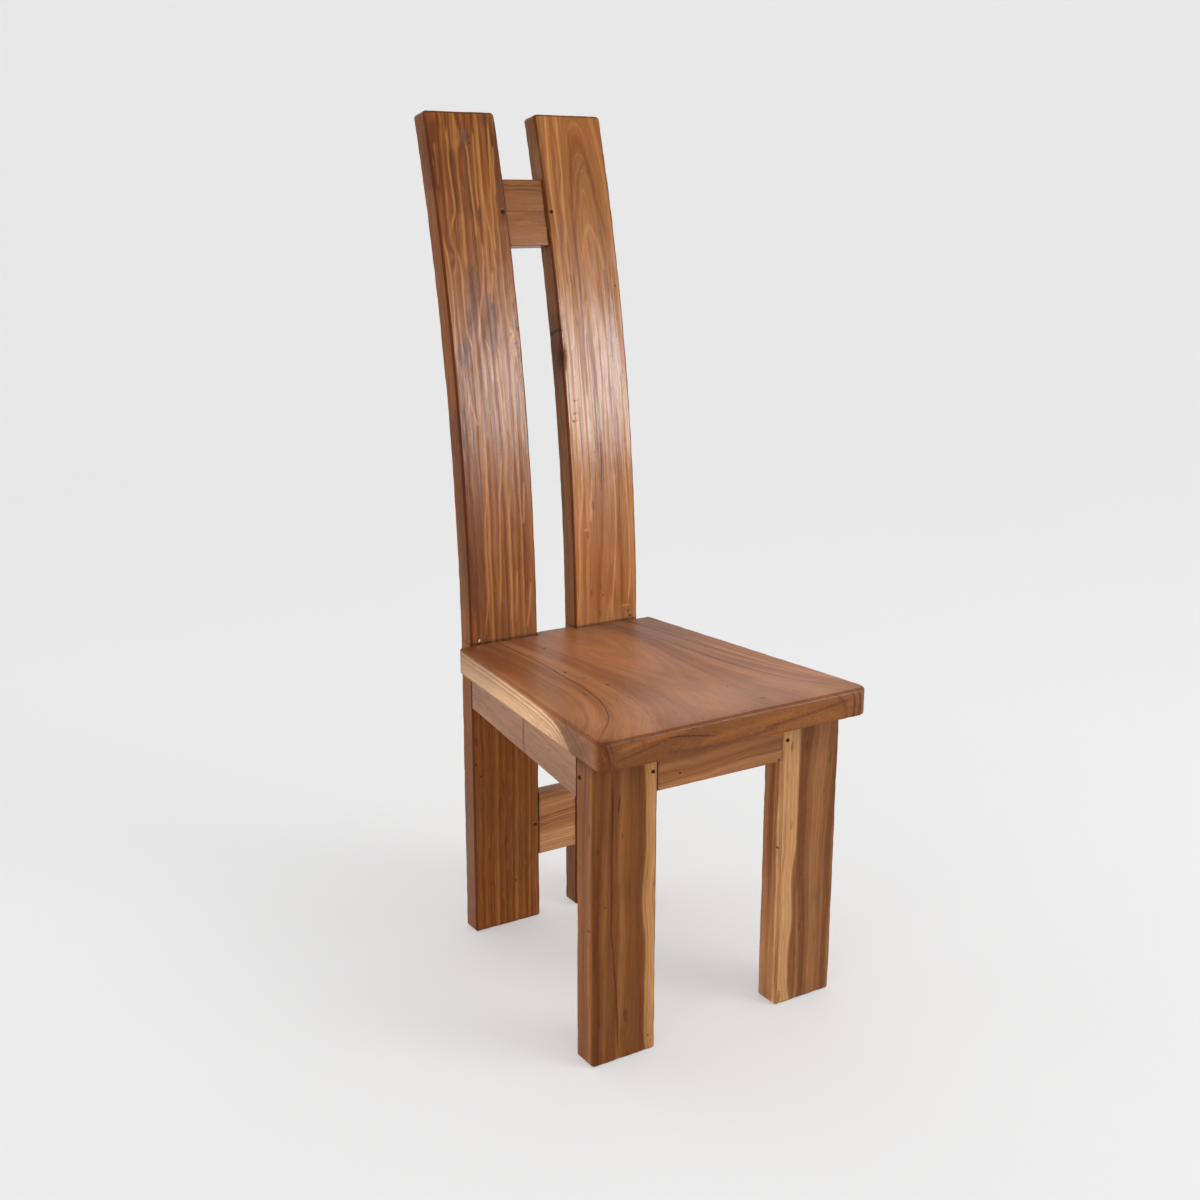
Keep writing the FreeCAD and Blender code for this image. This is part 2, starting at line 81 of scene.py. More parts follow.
class Net:
    """Adds shader nodes to a material and joins them."""

    def __init__(self, material):
        material.use_nodes = True
        self.tree = material.node_tree
        self.tree.nodes.clear()

    def put(self, socket, value):
        if isinstance(value, Wire):
            self.tree.links.new(value.socket, socket)
        elif value is not None:
            socket.default_value = value

    def add(self, kind, inputs=None, out=0, **settings):
        node = self.tree.nodes.new(kind)
        for name, value in settings.items():
            setattr(node, name, value)
        for name, value in (inputs or {}).items():
            self.put(node.inputs[name], value)
        return Wire(self, node.outputs[out])

    def finish(self, inputs):
        """Ends the material in one surface shader."""
        shader = self.add("ShaderNodeBsdfPrincipled", inputs)
        output = self.tree.nodes.new("ShaderNodeOutputMaterial")
        self.put(output.inputs[0], shader)

    def math(self, operation, *values):
        inputs = dict(enumerate(values))
        return self.add("ShaderNodeMath", inputs, operation=operation)

    def vector(self, x, y, z):
        return self.add("ShaderNodeCombineXYZ", {0: x, 1: y, 2: z})

    def noise(self, place, detail=2.0, rough=0.5, out=0):
        """Noise at a place whose unit is one cell of the noise."""
        inputs = {"Vector": place, "Scale": 1.0, "Detail": detail, "Roughness": rough}
        return self.add("ShaderNodeTexNoise", inputs, out)

    def line_noise(self, place, detail=2.0, rough=0.5):
        """Noise along one number."""
        inputs = {"W": place, "Scale": 1.0, "Detail": detail, "Roughness": rough}
        return self.add("ShaderNodeTexNoise", inputs, noise_dimensions="1D")

    def step(self, value, low, high, to_low=0.0, to_high=1.0):
        """A smooth change from to_low to to_high as the value goes from low to high."""
        inputs = {"Value": value, "From Min": low, "From Max": high}
        inputs.update({"To Min": to_low, "To Max": to_high})
        return self.add("ShaderNodeMapRange", inputs, interpolation_type="SMOOTHSTEP")

    def ramp(self, value, stops):
        """A colour ramp through its stops."""
        node = self.tree.nodes.new("ShaderNodeValToRGB")
        node.color_ramp.interpolation = "EASE"
        self.put(node.inputs[0], value)
        marks = node.color_ramp.elements
        while len(marks) < len(stops):
            marks.new(0.5)
        for mark, (place, tone) in zip(marks, stops):
            mark.position = place
            mark.color = tone
        return Wire(self, node.outputs[0])

    def curve(self, value, points):
        """A smooth curve through (value, result) points."""
        values, results = zip(*sorted(points))
        span = values[-1] - values[0]
        rise = max(results) - min(results) or 1.0
        node = self.tree.nodes.new("ShaderNodeFloatCurve")
        self.put(node.inputs["Value"], (value - values[0]) / span)
        curve = node.mapping.curves[0]
        while len(curve.points) < len(points):
            curve.points.new(0.5, 0.5)
        for mark, place, result in zip(curve.points, values, results):
            mark.location = ((place - values[0]) / span, (result - min(results)) / rise)
            mark.handle_type = "AUTO_CLAMPED"
        node.mapping.update()
        return Wire(self, node.outputs[0]) * rise + min(results)

    def mix(self, share, first, second, blend="MIX"):
        """Mixes two colours."""
        node = self.tree.nodes.new("ShaderNodeMix")
        node.data_type = "RGBA"
        node.blend_type = blend
        self.put(node.inputs[0], share)
        self.put(node.inputs[6], first)
        self.put(node.inputs[7], second)
        return Wire(self, node.outputs[2])


class Wire:
    """The output of a node, with arithmetic."""

    def __init__(self, net, socket):
        self.net = net
        self.socket = socket

    def __add__(self, other):
        return self.net.math("ADD", self, other)

    def __sub__(self, other):
        return self.net.math("SUBTRACT", self, other)

    def __rsub__(self, other):
        return self.net.math("SUBTRACT", other, self)

    def __mul__(self, other):
        return self.net.math("MULTIPLY", self, other)

    def __truediv__(self, other):
        return self.net.math("DIVIDE", self, other)

    def max(self, other):
        return self.net.math("MAXIMUM", self, other)

    def min(self, other):
        return self.net.math("MINIMUM", self, other)

    def parts(self):
        node = self.net.tree.nodes.new("ShaderNodeSeparateXYZ")
        self.net.put(node.inputs[0], self)
        return [Wire(self.net, output) for output in node.outputs]

    __radd__ = __add__
    __rmul__ = __mul__


def colour(tone):
    """Linear colour with alpha from sRGB numbers up to 255."""
    linear = []
    for part in tone:
        share = part / 255
        linear.append(share / 12.92 if share <= 0.04045 else ((share + 0.055) / 1.055) ** 2.4)
    return (*linear, 1.0)


# What the lacquer's sheen adds all over, the light on a face towards the camera, and the
# darkest wood
HAZE = 0.012
DAYLIGHT = 0.78
DARKEST = 0.0025


def bare(tone):
    """The wood's own colour under its lacquer, for a colour seen in the photograph."""
    return (*(max(part - HAZE, DARKEST) / DAYLIGHT for part in colour(tone)[:3]), 1.0)


# Wood. The attribute "grain" holds, in metres, the place across the grain, along it and in
# depth. Year rings are drawn about a pith line beside the board, so all faces agree.
# The tones are those seen in the photograph.

TONE_STOPS = (0.28, 0.4, 0.5, 0.6, 0.74)
EDGE_TONE = (86, 44, 20)
END_TONE = (78, 42, 22)
DEPTH_SCALE = 30.0
WORN_ROUGHNESS = 0.4
FIBRE_BUMP = 0.001
WAVE_BUMP = 0.0014
COAT_ROUGHNESS = 0.18
PATH_FADE_SHARE = 0.06

# The wood's noises: cells per millimetre across the grain and along it, detail and roughness
NOISES = {
    "slow": (0.009, 0.0022, 2.0, 0.5), "ripple": (0.045, 0.011, 3.0, 0.5), "wander": (0.1, 0.028, 2.0, 0.5),
    "swirl": (0.06, 0.03, 3.0, 0.6), "presence": (0.03, 0.005, 1.5, 0.5), "blotch": (0.022, 0.007, 3.0, 0.55),
    "fibre": (0.45, 0.018, 5.0, 0.7), "hair": (2.2, 0.035, 2.0, 0.5), "dash": (0.4, 0.022, 2.0, 0.6),
    "pore": (1.1, 0.045, 1.0, 0.5), "pit": (0.12, 0.03, 0.0, 0.5), "dull": (0.22, 0.005, 2.0, 0.6),
    "wave": (0.15, 0.012, 3.0, 0.55),
}
WOOD = {
    "tones": [(100, 55, 26), (118, 68, 36), (134, 82, 46), (152, 98, 60), (178, 124, 80)],
    "sap": (186, 138, 94), "sap_dark": (160, 112, 70), "sap_lines": 0.17, "knot": (56, 30, 18),
    "pith": (300.0, -150.0), "lean": (0.0, 0.0), "band": 14.0, "spread": 1.0, "grit": 0.62, "slow": 14.0,
    "ripple": 3.0, "line_size": 4.0, "lines": 0.35, "veins": 0.4, "vein_size": 9.0, "dashes": 0.3,
    "blotch": 1.0, "fibre": 1.0, "flanks": (), "joints": (), "gain": (), "rim": 0.45, "knots": (),
    "burls": (), "spots": (), "patches": (), "streaks": (), "paths": (), "sapwood": None,
    "front_only": False, "flow": None, "rough": (0.17, 0.24), "gloss": 0.12, "coat": 0.06, "relief": 1.0,
    "ridges": 0.3, "dull": 0.06, "wave": 1.0, "end": 0.4, "seed": 0.0,
}


def near_point(net, place, centre, reach):
    """One at a point, falling off over its own reach along each axis."""
    gap = None
    for part, middle, size in zip(place, centre, reach):
        share = (part - middle) / size
        gap = share * share if gap is None else gap + share * share
    return net.math("EXPONENT", gap * -1.0)


def grainy(net, kind, place, shift=(0, 0, 0), out=0):
    """One of the wood's noises, its cells stretched along the grain."""
    wide, long, detail, rough = NOISES[kind]
    cells = []
    for part, scale, move in zip(place, (wide, long, wide), shift):
        cells.append(part * scale + move if move else part * scale)
    return net.noise(net.vector(*cells), detail, rough, out)


def near_path(net, run, across, points, width, wobble):
    """One along a wavering line through points, falling off over its width."""
    first, last = min(points)[0], max(points)[0]
    gap = (across - net.curve(run, points) + wobble) / width
    fade = (last - first) * PATH_FADE_SHARE
    shown = net.step(run, first - fade, first + fade) * net.step(run, last + fade, last - fade)
    return net.math("EXPONENT", gap * gap * -1.0) * shown


def wood(name, **changes):
    """A lacquered hardwood with its own rings, veins, pores and knots."""
    look = {**WOOD, **changes}
    seed = look["seed"]
    material = bpy.data.materials.new(name)
    net = Net(material)
    grain = net.add("ShaderNodeAttribute", out="Vector", attribute_name="grain")
    trim = net.add("ShaderNodeAttribute", out="Vector", attribute_name="trim").parts()
    place = [part * 1000.0 for part in grain.parts()]
    across, along, depth = place
    inside = trim[2] * DEPTH_SCALE
    if look["flow"]:
        across = look["flow"](net, *place)

    # How the fibres run
    here = (across, along, depth)
    slow = grainy(net, "slow", here, (seed, 0, 0), "Color").parts()
    ripple = grainy(net, "ripple", here, (0, seed, 0)) - 0.5
    wander = grainy(net, "wander", here, (seed, 0, 0)) - 0.5
    bend = ripple * (2.0 * look["ripple"]) + wander * 3.0
    bent = across + (slow[0] - 0.5) * (2.0 * look["slow"]) + bend
    sunk = depth + (slow[1] - 0.5) * (2.0 * look["slow"])
    side = bent - look["pith"][0] - along * look["lean"][0]
    back = sunk - look["pith"][1] - along * look["lean"][1]
    ring = net.math("SQRT", side * side + back * back)
    if look["burls"]:
        swirl = grainy(net, "swirl", here, (0, seed, 0)) - 0.5
        amount = 0.0
        for x, z, y, size, strength in look["burls"]:
            near = near_point(net, place, (x, z, y), (size, size * 3.0, size * 2.0))
            amount = near * strength + amount
        ring = ring + swirl * amount
    marks = None
    for x, z, y, size, pull in look["knots"]:
        near = near_point(net, place, (x, z, y), (size, size * 2.4, size * 1.8))
        ring = ring + near * pull
    for x, z, y, size in look["spots"]:
        near = near_point(net, place, (x, z, y), (size, size * 1.3, size * 3.0))
        core = net.step(near + ripple * 0.8, 0.35, 0.75)
        marks = core if marks is None else marks.max(core)

    # Broad bands, dark and light lines that come and go
    band = net.line_noise(ring / look["band"] + seed, detail=5.0, rough=look["grit"])
    band = (band - 0.5) * look["spread"] + 0.5
    tones = [bare(tone) for tone in look["tones"]]
    dark, light = tones[0], tones[-1]
    tone = net.ramp(band, list(zip(TONE_STOPS, tones)))
    presence = grainy(net, "presence", (bent, along, sunk), (0, seed * 3.0, 0), "Color").parts()
    fine = net.line_noise(ring / look["line_size"] + seed * 2.0 + 40.0, detail=2.0, rough=0.5)
    line = net.step(fine + (presence[0] - 0.5) * 0.8, 0.5, 0.68)
    tone = net.mix(line * look["lines"], tone, dark)
    thin = net.line_noise(ring / look["vein_size"] + seed * 5.0 + 90.0, detail=1.0)
    ridge = net.math("ABSOLUTE", thin - 0.5)
    vein = net.step(ridge - (presence[1] - 0.5) * 0.2, 0.07, 0.01)
    tone = net.mix(vein * look["veins"], tone, light)

    fibres = (bent, along, inside)
    blotch = grainy(net, "blotch", (bent, along, sunk), (0, 0, seed))
    fibre = grainy(net, "fibre", fibres)
    hair = grainy(net, "hair", fibres)
    waver = (fibre - 0.5) * 3.0 + ripple * 6.0
    if look["sapwood"]:
        share, gap = look["sapwood"](net, *place, waver)
        pale = net.line_noise(gap * look["sap_lines"] + waver * 0.05 + seed, detail=3.0, rough=0.6)
        stops = [(0.2, bare(look["sap_dark"])), (0.7, bare(look["sap"]))]
        tone = net.mix(share, tone, net.ramp(pale, stops))
    shown = net.step(trim[2], 0.9, 0.3) if look["front_only"] else 1.0
    for points, width, strength, tint in look["streaks"]:
        near = near_path(net, along, place[0], points, width, waver) * shown
        tone = net.mix(near * strength, tone, bare(tint))
    for x, z, y, reach, strength, tint in look["patches"]:
        near = near_point(net, (place[0] + waver, along, depth), (x, z, y), reach)
        tone = net.mix(near * strength, tone, bare(tint))
    for run, rise, face, points, width, strength, tint in look["paths"]:
        near = near_path(net, place[run], place[rise], points, width, waver * 0.4)
        near = near * net.step(place[face[0]], face[1], face[2])
        tone = net.mix(near * strength, tone, bare(tint))
    reach = 0.2 * look["fibre"]
    shade = net.step(blotch, 0.25, 0.75, 1.0 - 0.22 * look["blotch"], 1.0 + 0.18 * look["blotch"])
    shade = shade * net.step(fibre, 0.25, 0.75, 1.0 - reach, 1.0 + reach)
    shade = shade * net.step(hair, 0.25, 0.75, 0.92, 1.08)
    # Painted shade on side faces: a positive amount darkens a side face and a negative one paints it lighter,
    # as light falls on it
    for low, high, amount in look["flanks"]:
        flank = net.step(place[0], low, high)
        shade = shade * (1.0 - flank * amount)
    # Painted shade along a line: the contact shadow where the seat meets the posts, and the shade under the
    # seat's overhang at the top of the front legs
    for axis, rim, width, amount in look["joints"]:
        gap = (place[axis] - rim) / width
        shade = shade * (1.0 - net.math("EXPONENT", gap * gap * -1.0) * shown * amount)
    # Painted light and shade along the grain, partly the wood's own tone: the posts darker towards the top,
    # the seat's front face and its back near the posts darker, the front of the seat top lighter
    if look["gain"]:
        shade = shade * net.curve(along, look["gain"])
    tone = net.mix(1.0, tone, net.vector(shade, shade, shade), "MULTIPLY")

    # Vessel lines, pits and marks
    dash = net.step(grainy(net, "dash", fibres, (3, seed, 0)), 0.6, 0.69)
    tone = net.mix(dash * look["dashes"], tone, light)
    pore = net.step(grainy(net, "pore", fibres, (7, 0, 0)), 0.66, 0.74)
    tone = net.mix(pore * look["dashes"], tone, light)
    pit = net.step(grainy(net, "pit", here, (0, seed, 0)), 0.8, 0.84)
    tone = net.mix(pit * 0.4, tone, bare(look["knot"]))
    if marks is not None:
        tone = net.mix(marks * 0.88, tone, bare(look["knot"]))

    # Darker worn edges and end grain
    rim = net.step(trim[0] + (blotch - 0.5) * 0.6, 0.05, 0.55)
    tone = net.mix(rim * look["rim"], tone, bare(EDGE_TONE))
    tone = net.mix(trim[1] * look["end"], tone, bare(END_TONE))

    low, high = look["rough"]
    dull = net.step(grainy(net, "dull", (across + bend * 0.3 + seed, along, inside)), 0.48, 0.64)
    rough = net.step(fibre, 0.2, 0.8, low, high) + dull * look["dull"] + trim[0] * WORN_ROUGHNESS
    relief = fibre * 0.7 + hair * 0.25 + fine * look["ridges"] - pore * 0.4
    inputs = {"Strength": 0.5, "Distance": FIBRE_BUMP * look["relief"], "Height": relief}
    bump = net.add("ShaderNodeBump", inputs)
    wave = grainy(net, "wave", fibres, (0, seed, 0))
    inputs = {"Strength": 0.5, "Distance": WAVE_BUMP * look["wave"], "Height": wave, "Normal": bump}
    bump = net.add("ShaderNodeBump", inputs)
    inputs = {"Base Color": tone, "Roughness": rough, "Normal": bump, "Specular IOR Level": look["gloss"]}
    net.finish({**inputs, "Coat Weight": look["coat"], "Coat Roughness": COAT_ROUGHNESS})
    return material


# Boards


LEAST_GAP = 0.25
UNEVEN_CELL = 38.0
CHIP_CELL = 7.0
END_BAND = 1.5


def lines(length, rounds, step, dense=()):
    """Grid lines along a side: close in the rounded ends and where asked, even elsewhere."""
    places = set(np.linspace(0.0, length, max(2, round(length / step) + 1)).round(4))
    for low, high, fine in dense:
        places |= set(np.arange(max(low, 0.0), min(high, length), fine).round(4))
    ends = (0.0, 0.332, 0.586, 0.801, 1.0)
    kept = {0.0, round(length, 4)}
    reach = max(rounds)
    for radius in rounds:
        for share in ends:
            kept |= {round(radius * share, 4), round(length - radius * share, 4)}
    for place in places:
        if reach < place < length - reach and min(abs(place - other) for other in kept) > LEAST_GAP:
            kept.add(place)
    return np.array(sorted(kept))


def shell(counts):
    """Indices of the points on a box-shaped grid and the quads that cover it."""
    grid = np.full(counts, -1)
    inside = np.zeros(counts, bool)
    inside[1:-1, 1:-1, 1:-1] = True
    grid[~inside] = np.arange((~inside).sum())
    where = np.argwhere(~inside)
    quads = []
    for axis in range(3):
        for end in (0, -1):
            face = np.take(grid, end, axis=axis)
            corners = [face[:-1, :-1], face[1:, :-1], face[1:, 1:], face[:-1, 1:]]
            quad = np.stack([corner.ravel() for corner in corners], 1)
            if (end == 0) == (axis != 1):
                quad = quad[:, ::-1]
            quads.append(quad)
    return where, np.concatenate(quads)


def squared_to_round(first, second):
    """Moves points of a square corner onto its quarter circle, keeping their direction."""
    flat = np.maximum(np.abs(first), np.abs(second))
    length = np.maximum(np.hypot(first, second), 1e-9)
    share = np.where(flat > 0, flat / length, 1.0)
    return first * share, second * share


def rounded(points, size, corner, edge):
    """Rounds a box: its outline's corners in the first two axes, then its broad edges.

    corner holds the outline's radii at the low and high end of the second axis, edge those of
    the sides, the low end and the high end. Returns the points and how near each is to an edge.
    """
    a, b, d = points.T
    half_a, half_b, half_d = (length / 2 for length in size)
    a = a - half_a
    b = b - half_b
    d = d - half_d
    turn = np.where(b < 0, corner[0], corner[1])
    over_a = np.maximum(np.abs(a) - (half_a - turn), 0.0)
    over_b = np.maximum(np.abs(b) - (half_b - turn), 0.0)
    both = (over_a > 0) & (over_b > 0)
    new_a, new_b = squared_to_round(over_a, over_b)
    over_a = np.where(both, new_a, over_a)
    over_b = np.where(both, new_b, over_b)
    a = np.sign(a) * (np.minimum(np.abs(a), half_a - turn) + over_a)
    b = np.sign(b) * (np.minimum(np.abs(b), half_b - turn) + over_b)
    length = np.maximum(np.hypot(over_a, over_b), 1e-9)
    gap_a = half_a - np.abs(a)
    gap_b = half_b - np.abs(b)
    lean_a = np.where(both, over_a / length, gap_a <= gap_b)
    lean_b = np.where(both, over_b / length, gap_a > gap_b)
    inset = np.where(both, turn - length, np.minimum(gap_a, gap_b))
    end = np.where(b < 0, edge[1], edge[2])
    radius = edge[0] * lean_a**2 + end * lean_b**2
    depth = half_d - np.abs(d)
    side = np.clip(radius - inset, 0.0, radius)
    rise = np.clip(radius - depth, 0.0, radius)
    new_side, new_rise = squared_to_round(side, rise)
    moved = new_side - side
    a = a + np.sign(a) * lean_a * moved
    b = b + np.sign(b) * lean_b * moved
    d = d + np.sign(d) * (new_rise - rise)
    both = np.minimum(side, rise) / np.maximum(radius, 1e-6)
    near = np.clip(np.minimum(1.0, np.maximum(side, rise) / np.maximum(radius, 1e-6)), 0.0, 1.0)
    worn = near * np.clip(both * 2.0 + 0.2, 0.0, 1.0)
    return np.stack([a + half_a, b + half_b, d + half_d], 1), worn


def normals_of(points, quads):
    """Unit normals of the points, weighted by the areas of the quads around them."""
    first = points[quads[:, 2]] - points[quads[:, 0]]
    second = points[quads[:, 3]] - points[quads[:, 1]]
    cross = np.cross(first, second)
    total = np.zeros_like(points)
    for column in range(4):
        np.add.at(total, quads[:, column], cross)
    return total / np.maximum(np.linalg.norm(total, axis=1, keepdims=True), 1e-12)


def roughly(points, cell, stretch, octaves=2, shift=0.0):
    """Smooth noise from 0 to 1 at points in millimetres, with cells stretched along an axis."""
    cells = points / (np.array(stretch) * cell) + shift
    values = [perlin.fractal(Vector(cell_place), 1.0, 2.0, octaves) for cell_place in cells]
    return np.clip(np.array(values) * 0.5 + 0.5, 0.0, 1.0)


def board(name, material, slot, nodes, size, shape, grain, **how):
    """A board of wood with rounded, slightly uneven faces, built as a closed grid.

    size is across, along and in depth; shape turns such points into the CAD frame, and grain
    turns CAD points into the wood's own axes.
    """
    corner = how.get("corner", (3.5, 3.5))
    edge = how.get("edge", (3.5, 3.5, 3.5))
    step = how.get("step", 4.0)
    dense = how.get("dense", ((), (), ()))
    a_lines = lines(size[0], {*corner, edge[0]}, step, dense[0])
    b_lines = lines(size[1], {*corner, *edge[1:]}, step, dense[1])
    d_lines = lines(size[2], {*edge}, step, dense[2])
    where, quads = shell((len(a_lines), len(b_lines), len(d_lines)))
    raw = np.stack([a_lines[where[:, 0]], b_lines[where[:, 1]], d_lines[where[:, 2]]], 1)
    local, worn = rounded(raw, size, corner, edge)
    points = shape(local)
    corners = points[quads]
    outward = np.cross(corners[:, 2] - corners[:, 0], corners[:, 3] - corners[:, 1])
    if (outward * (corners.mean(1) - points.mean(0))).sum() < 0:
        quads = quads[:, ::-1]
    normals = normals_of(points, quads)
    seed = how.get("seed", 0.0)
    uneven = how.get("uneven", 0.5)
    stretch = how.get("stretch", (1.0, 1.0, 4.0))
    sunk = uneven * roughly(points, UNEVEN_CELL, stretch, 2, seed)
    chips = roughly(points, CHIP_CELL, stretch, 2, seed + 9.0)
    sunk = sunk + worn * how.get("wear", 0.7) * np.clip(chips * 2.0 - 0.8, 0.0, 1.0)
    for sculpt in how.get("sculpts", ()):
        sunk = sunk + sculpt(points, normals, worn)
    final = points - normals * sunk[:, None]
    mesh = bpy.data.meshes.new(name)
    mesh.from_pydata((final * MM).tolist(), [], quads.tolist())
    mesh.update()
    mesh.polygons.foreach_set("use_smooth", [True] * len(mesh.polygons))
    attribute = mesh.attributes.new("grain", "FLOAT_VECTOR", "POINT")
    attribute.data.foreach_set("vector", (grain(points) * MM).astype(np.float32).ravel())
    ends = np.clip(1.0 - np.minimum(local[:, 1], size[1] - local[:, 1]) / END_BAND, 0.0, 1.0)
    trim = np.stack([worn, ends, local[:, 2] / size[2]], 1)
    attribute = mesh.attributes.new("trim", "FLOAT_VECTOR", "POINT")
    attribute.data.foreach_set("vector", trim.astype(np.float32).ravel())
    mesh.normals_split_custom_set_from_vertices(normals_of(final, quads).tolist())
    mesh.materials.append(material)
    piece = bpy.data.objects.new(name, mesh)
    bpy.context.scene.collection.objects.link(piece)
    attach(piece, "root")
    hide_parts(*nodes)
    return piece


def placed(origin, across, along, depth):
    """A shape that lays a board's three axes along directions of the CAD frame."""
    axes = np.array([across, along, depth], float)

    def shape(points):
        return np.array(origin, float) + points @ axes

    return shape


def upright(points):
    """Grain along Z, across it X."""
    return points[:, [0, 2, 1]]


def lengthwise(points):
    """Grain along Y, across it X."""
    return points


def sideways(points):
    """Grain along X, across it Z."""
    return points[:, [2, 0, 1]]


FACE_REACH = 6.0
GROOVE_REACH_SHARE = 3


def ring_groove(centre, axis, radius, depth=0.5, width=0.7):
    """A pin's or nail's seat: a shallow ring, with the middle a little lower than the face."""
    others = [number for number in range(3) if number != axis]

    def sculpt(points, normals, worn):
        gap = np.hypot(*(points[:, number] - centre[number] for number in others))
        facing = np.abs(points[:, axis] - centre[axis]) < FACE_REACH
        middle = 0.75 * depth * (gap < radius)
        ring = depth * np.exp(-(((gap - radius) / width) ** 2))
        return facing * (middle + ring) * (gap < radius * GROOVE_REACH_SHARE)

    return sculpt


def pit(centre, reach, depth):
    """A hollow with its own reach along each axis."""

    def sculpt(points, normals, worn):
        gap = ((points - np.array(centre)) / np.array(reach)) ** 2
        return depth * np.exp(-gap.sum(1))

    return sculpt


def near_lines(places, reach=4.5, fine=0.7):
    """Dense grid lines around some places."""
    return tuple((place - reach, place + reach, fine) for place in places)


def post_shape(side):
    """Upright below the bend, then along an arc; the top falls a little to the back."""
    front_end = math.asin((POST_TOP - BEND_START) / BEND_RADIUS)
    back_radius = BEND_RADIUS - POST_THICKNESS
    back_end = math.asin((POST_TOP - TOP_DROP - BEND_START) / back_radius)

    def shape(points):
        a, b, d = points.T
        share = np.clip((b - BEND_START) / (POST_LENGTH - BEND_START), 0.0, None)
        turn = share * (front_end + (back_end - front_end) * d / POST_THICKNESS)
        bent = b > BEND_START
        y = np.where(bent, BEND_RADIUS - (BEND_RADIUS - d) * np.cos(turn), d)
        z = np.where(bent, BEND_START + (BEND_RADIUS - d) * np.sin(turn), b)
        return np.stack([side * (POST_INNER + a), POST_FACE + y, z], 1)

    return shape


BEND_LENGTH = BEND_RADIUS * math.asin((POST_TOP - BEND_START) / BEND_RADIUS)
POST_LENGTH = BEND_START + BEND_LENGTH


def along_post(z):
    """How far up a post's front face a height lies."""
    return BEND_START + BEND_RADIUS * math.asin((z - BEND_START) / BEND_RADIUS) if z > BEND_START else z


def face_depth(z):
    """Y of a post's front face at a height."""
    if z <= BEND_START:
        return POST_FACE
    return POST_FACE + BEND_RADIUS - math.sqrt(BEND_RADIUS**2 - (z - BEND_START) ** 2)


PIN_X = POST_INNER + PIN_INSET
BLOCK_REACH = BEND_RADIUS - POST_THICKNESS / 2
BLOCK_TILT = math.asin((BLOCK_MIDDLE - BEND_START) / BLOCK_REACH)
BLOCK_DEPTH = POST_FACE + BEND_RADIUS - BLOCK_REACH * math.cos(BLOCK_TILT)
BLOCK_PIN_Z = BLOCK_MIDDLE + POST_THICKNESS / 2 * math.sin(BLOCK_TILT)
STRETCHER_PIN_Z = STRETCHER_BOTTOM + STRETCHER_HEIGHT / 2
APRON_PIN_Z = SEAT_UNDER - APRON_HEIGHT / 2
NAIL_X = POST_INNER + POST_WIDTH - NAIL_INSET
NAIL_Z = SEAT_TOP + NAIL_RISE
PIN_RADIUS = 2.5
NAIL_RADIUS = 1.9


# Looks of the single boards, from the photograph

DENTS = [(x, face_depth(z), z) for x, z in ((49.2, 801), (47.6, 782), (44.9, 771))]


def left_leg_sap(net, x, z, y, waver):
    """A pale strip down the inner edge of the left front leg."""
    rim = net.curve(z, [(0, -115), (60, -119), (140, -117), (220, -122), (300, -118), (420, -123)])
    gap = x - rim + waver
    return net.step(gap, -4.0, 3.5), gap


def right_leg_sap(net, x, z, y, waver):
    """A pale strip beside the inner edge of the right front leg."""
    rim = net.curve(z, [(0, 127), (70, 122), (130, 127), (180, 124), (240, 130), (420, 130)])
    gap = rim - x + waver
    return net.step(gap, -2.5, 3.0) * net.step(y + waver, -252.0, -257.0), gap


def stretcher_sap(net, z, x, y, waver):
    """The stretcher's pale lower third."""
    gap = 138.0 - z + waver
    return net.step(gap, -4.0, 4.0), gap


def seat_sap(net, x, y, z, waver):
    """Pale sapwood low on the seat's left side, ending before the front corner."""
    heights = [(-228, 414), (-217, 424), (-200, 437), (-182, 446), (-150, 453), (-60, 457), (170, 458)]
    rim = net.curve(y, heights)
    gap = rim - z + waver * 0.5
    outer = net.curve(y, [(-300, -195), (-200, -172), (0, -150), (170, -135)])
    return net.step(gap, -1.5, 1.5) * net.step(x - outer + waver, 6.0, -6.0), gap


SEAT_LEFT = [(150, -105), (49, -104), (-49, -109), (-100, -113)]
SEAT_LEFT += [(-146, -121), (-192, -136), (-232, -157), (-270, -191)]
SEAT_CORNER_FACE = (1, -284, -288)
SEAT_LEFT_FACE = (0, -196, -202)
SEAT_FRONT_FACE = (1, -297, -300)
SEAT_RIGHT = [(150, 90), (55, 107), (-97, 119), (-196, 140), (-283, 185)]


def seat_flow(net, x, y, z):
    """Grain that fans out from the back to both front corners."""
    left = net.curve(y, SEAT_LEFT)
    right = net.curve(y, SEAT_RIGHT)
    return (x - left) / (right - left) * 200.0 - 105.0


def strokes(width, strength, tint, *paths):
    """Streaks of one kind, each along (along, across) points."""
    return [(path, width, strength, tint) for path in paths]


def on_face(run, rise, face, *marks):
    """Lines on one face, each with its (run, rise) points, width, strength and tint."""
    return [(run, rise, face, *mark) for mark in marks]


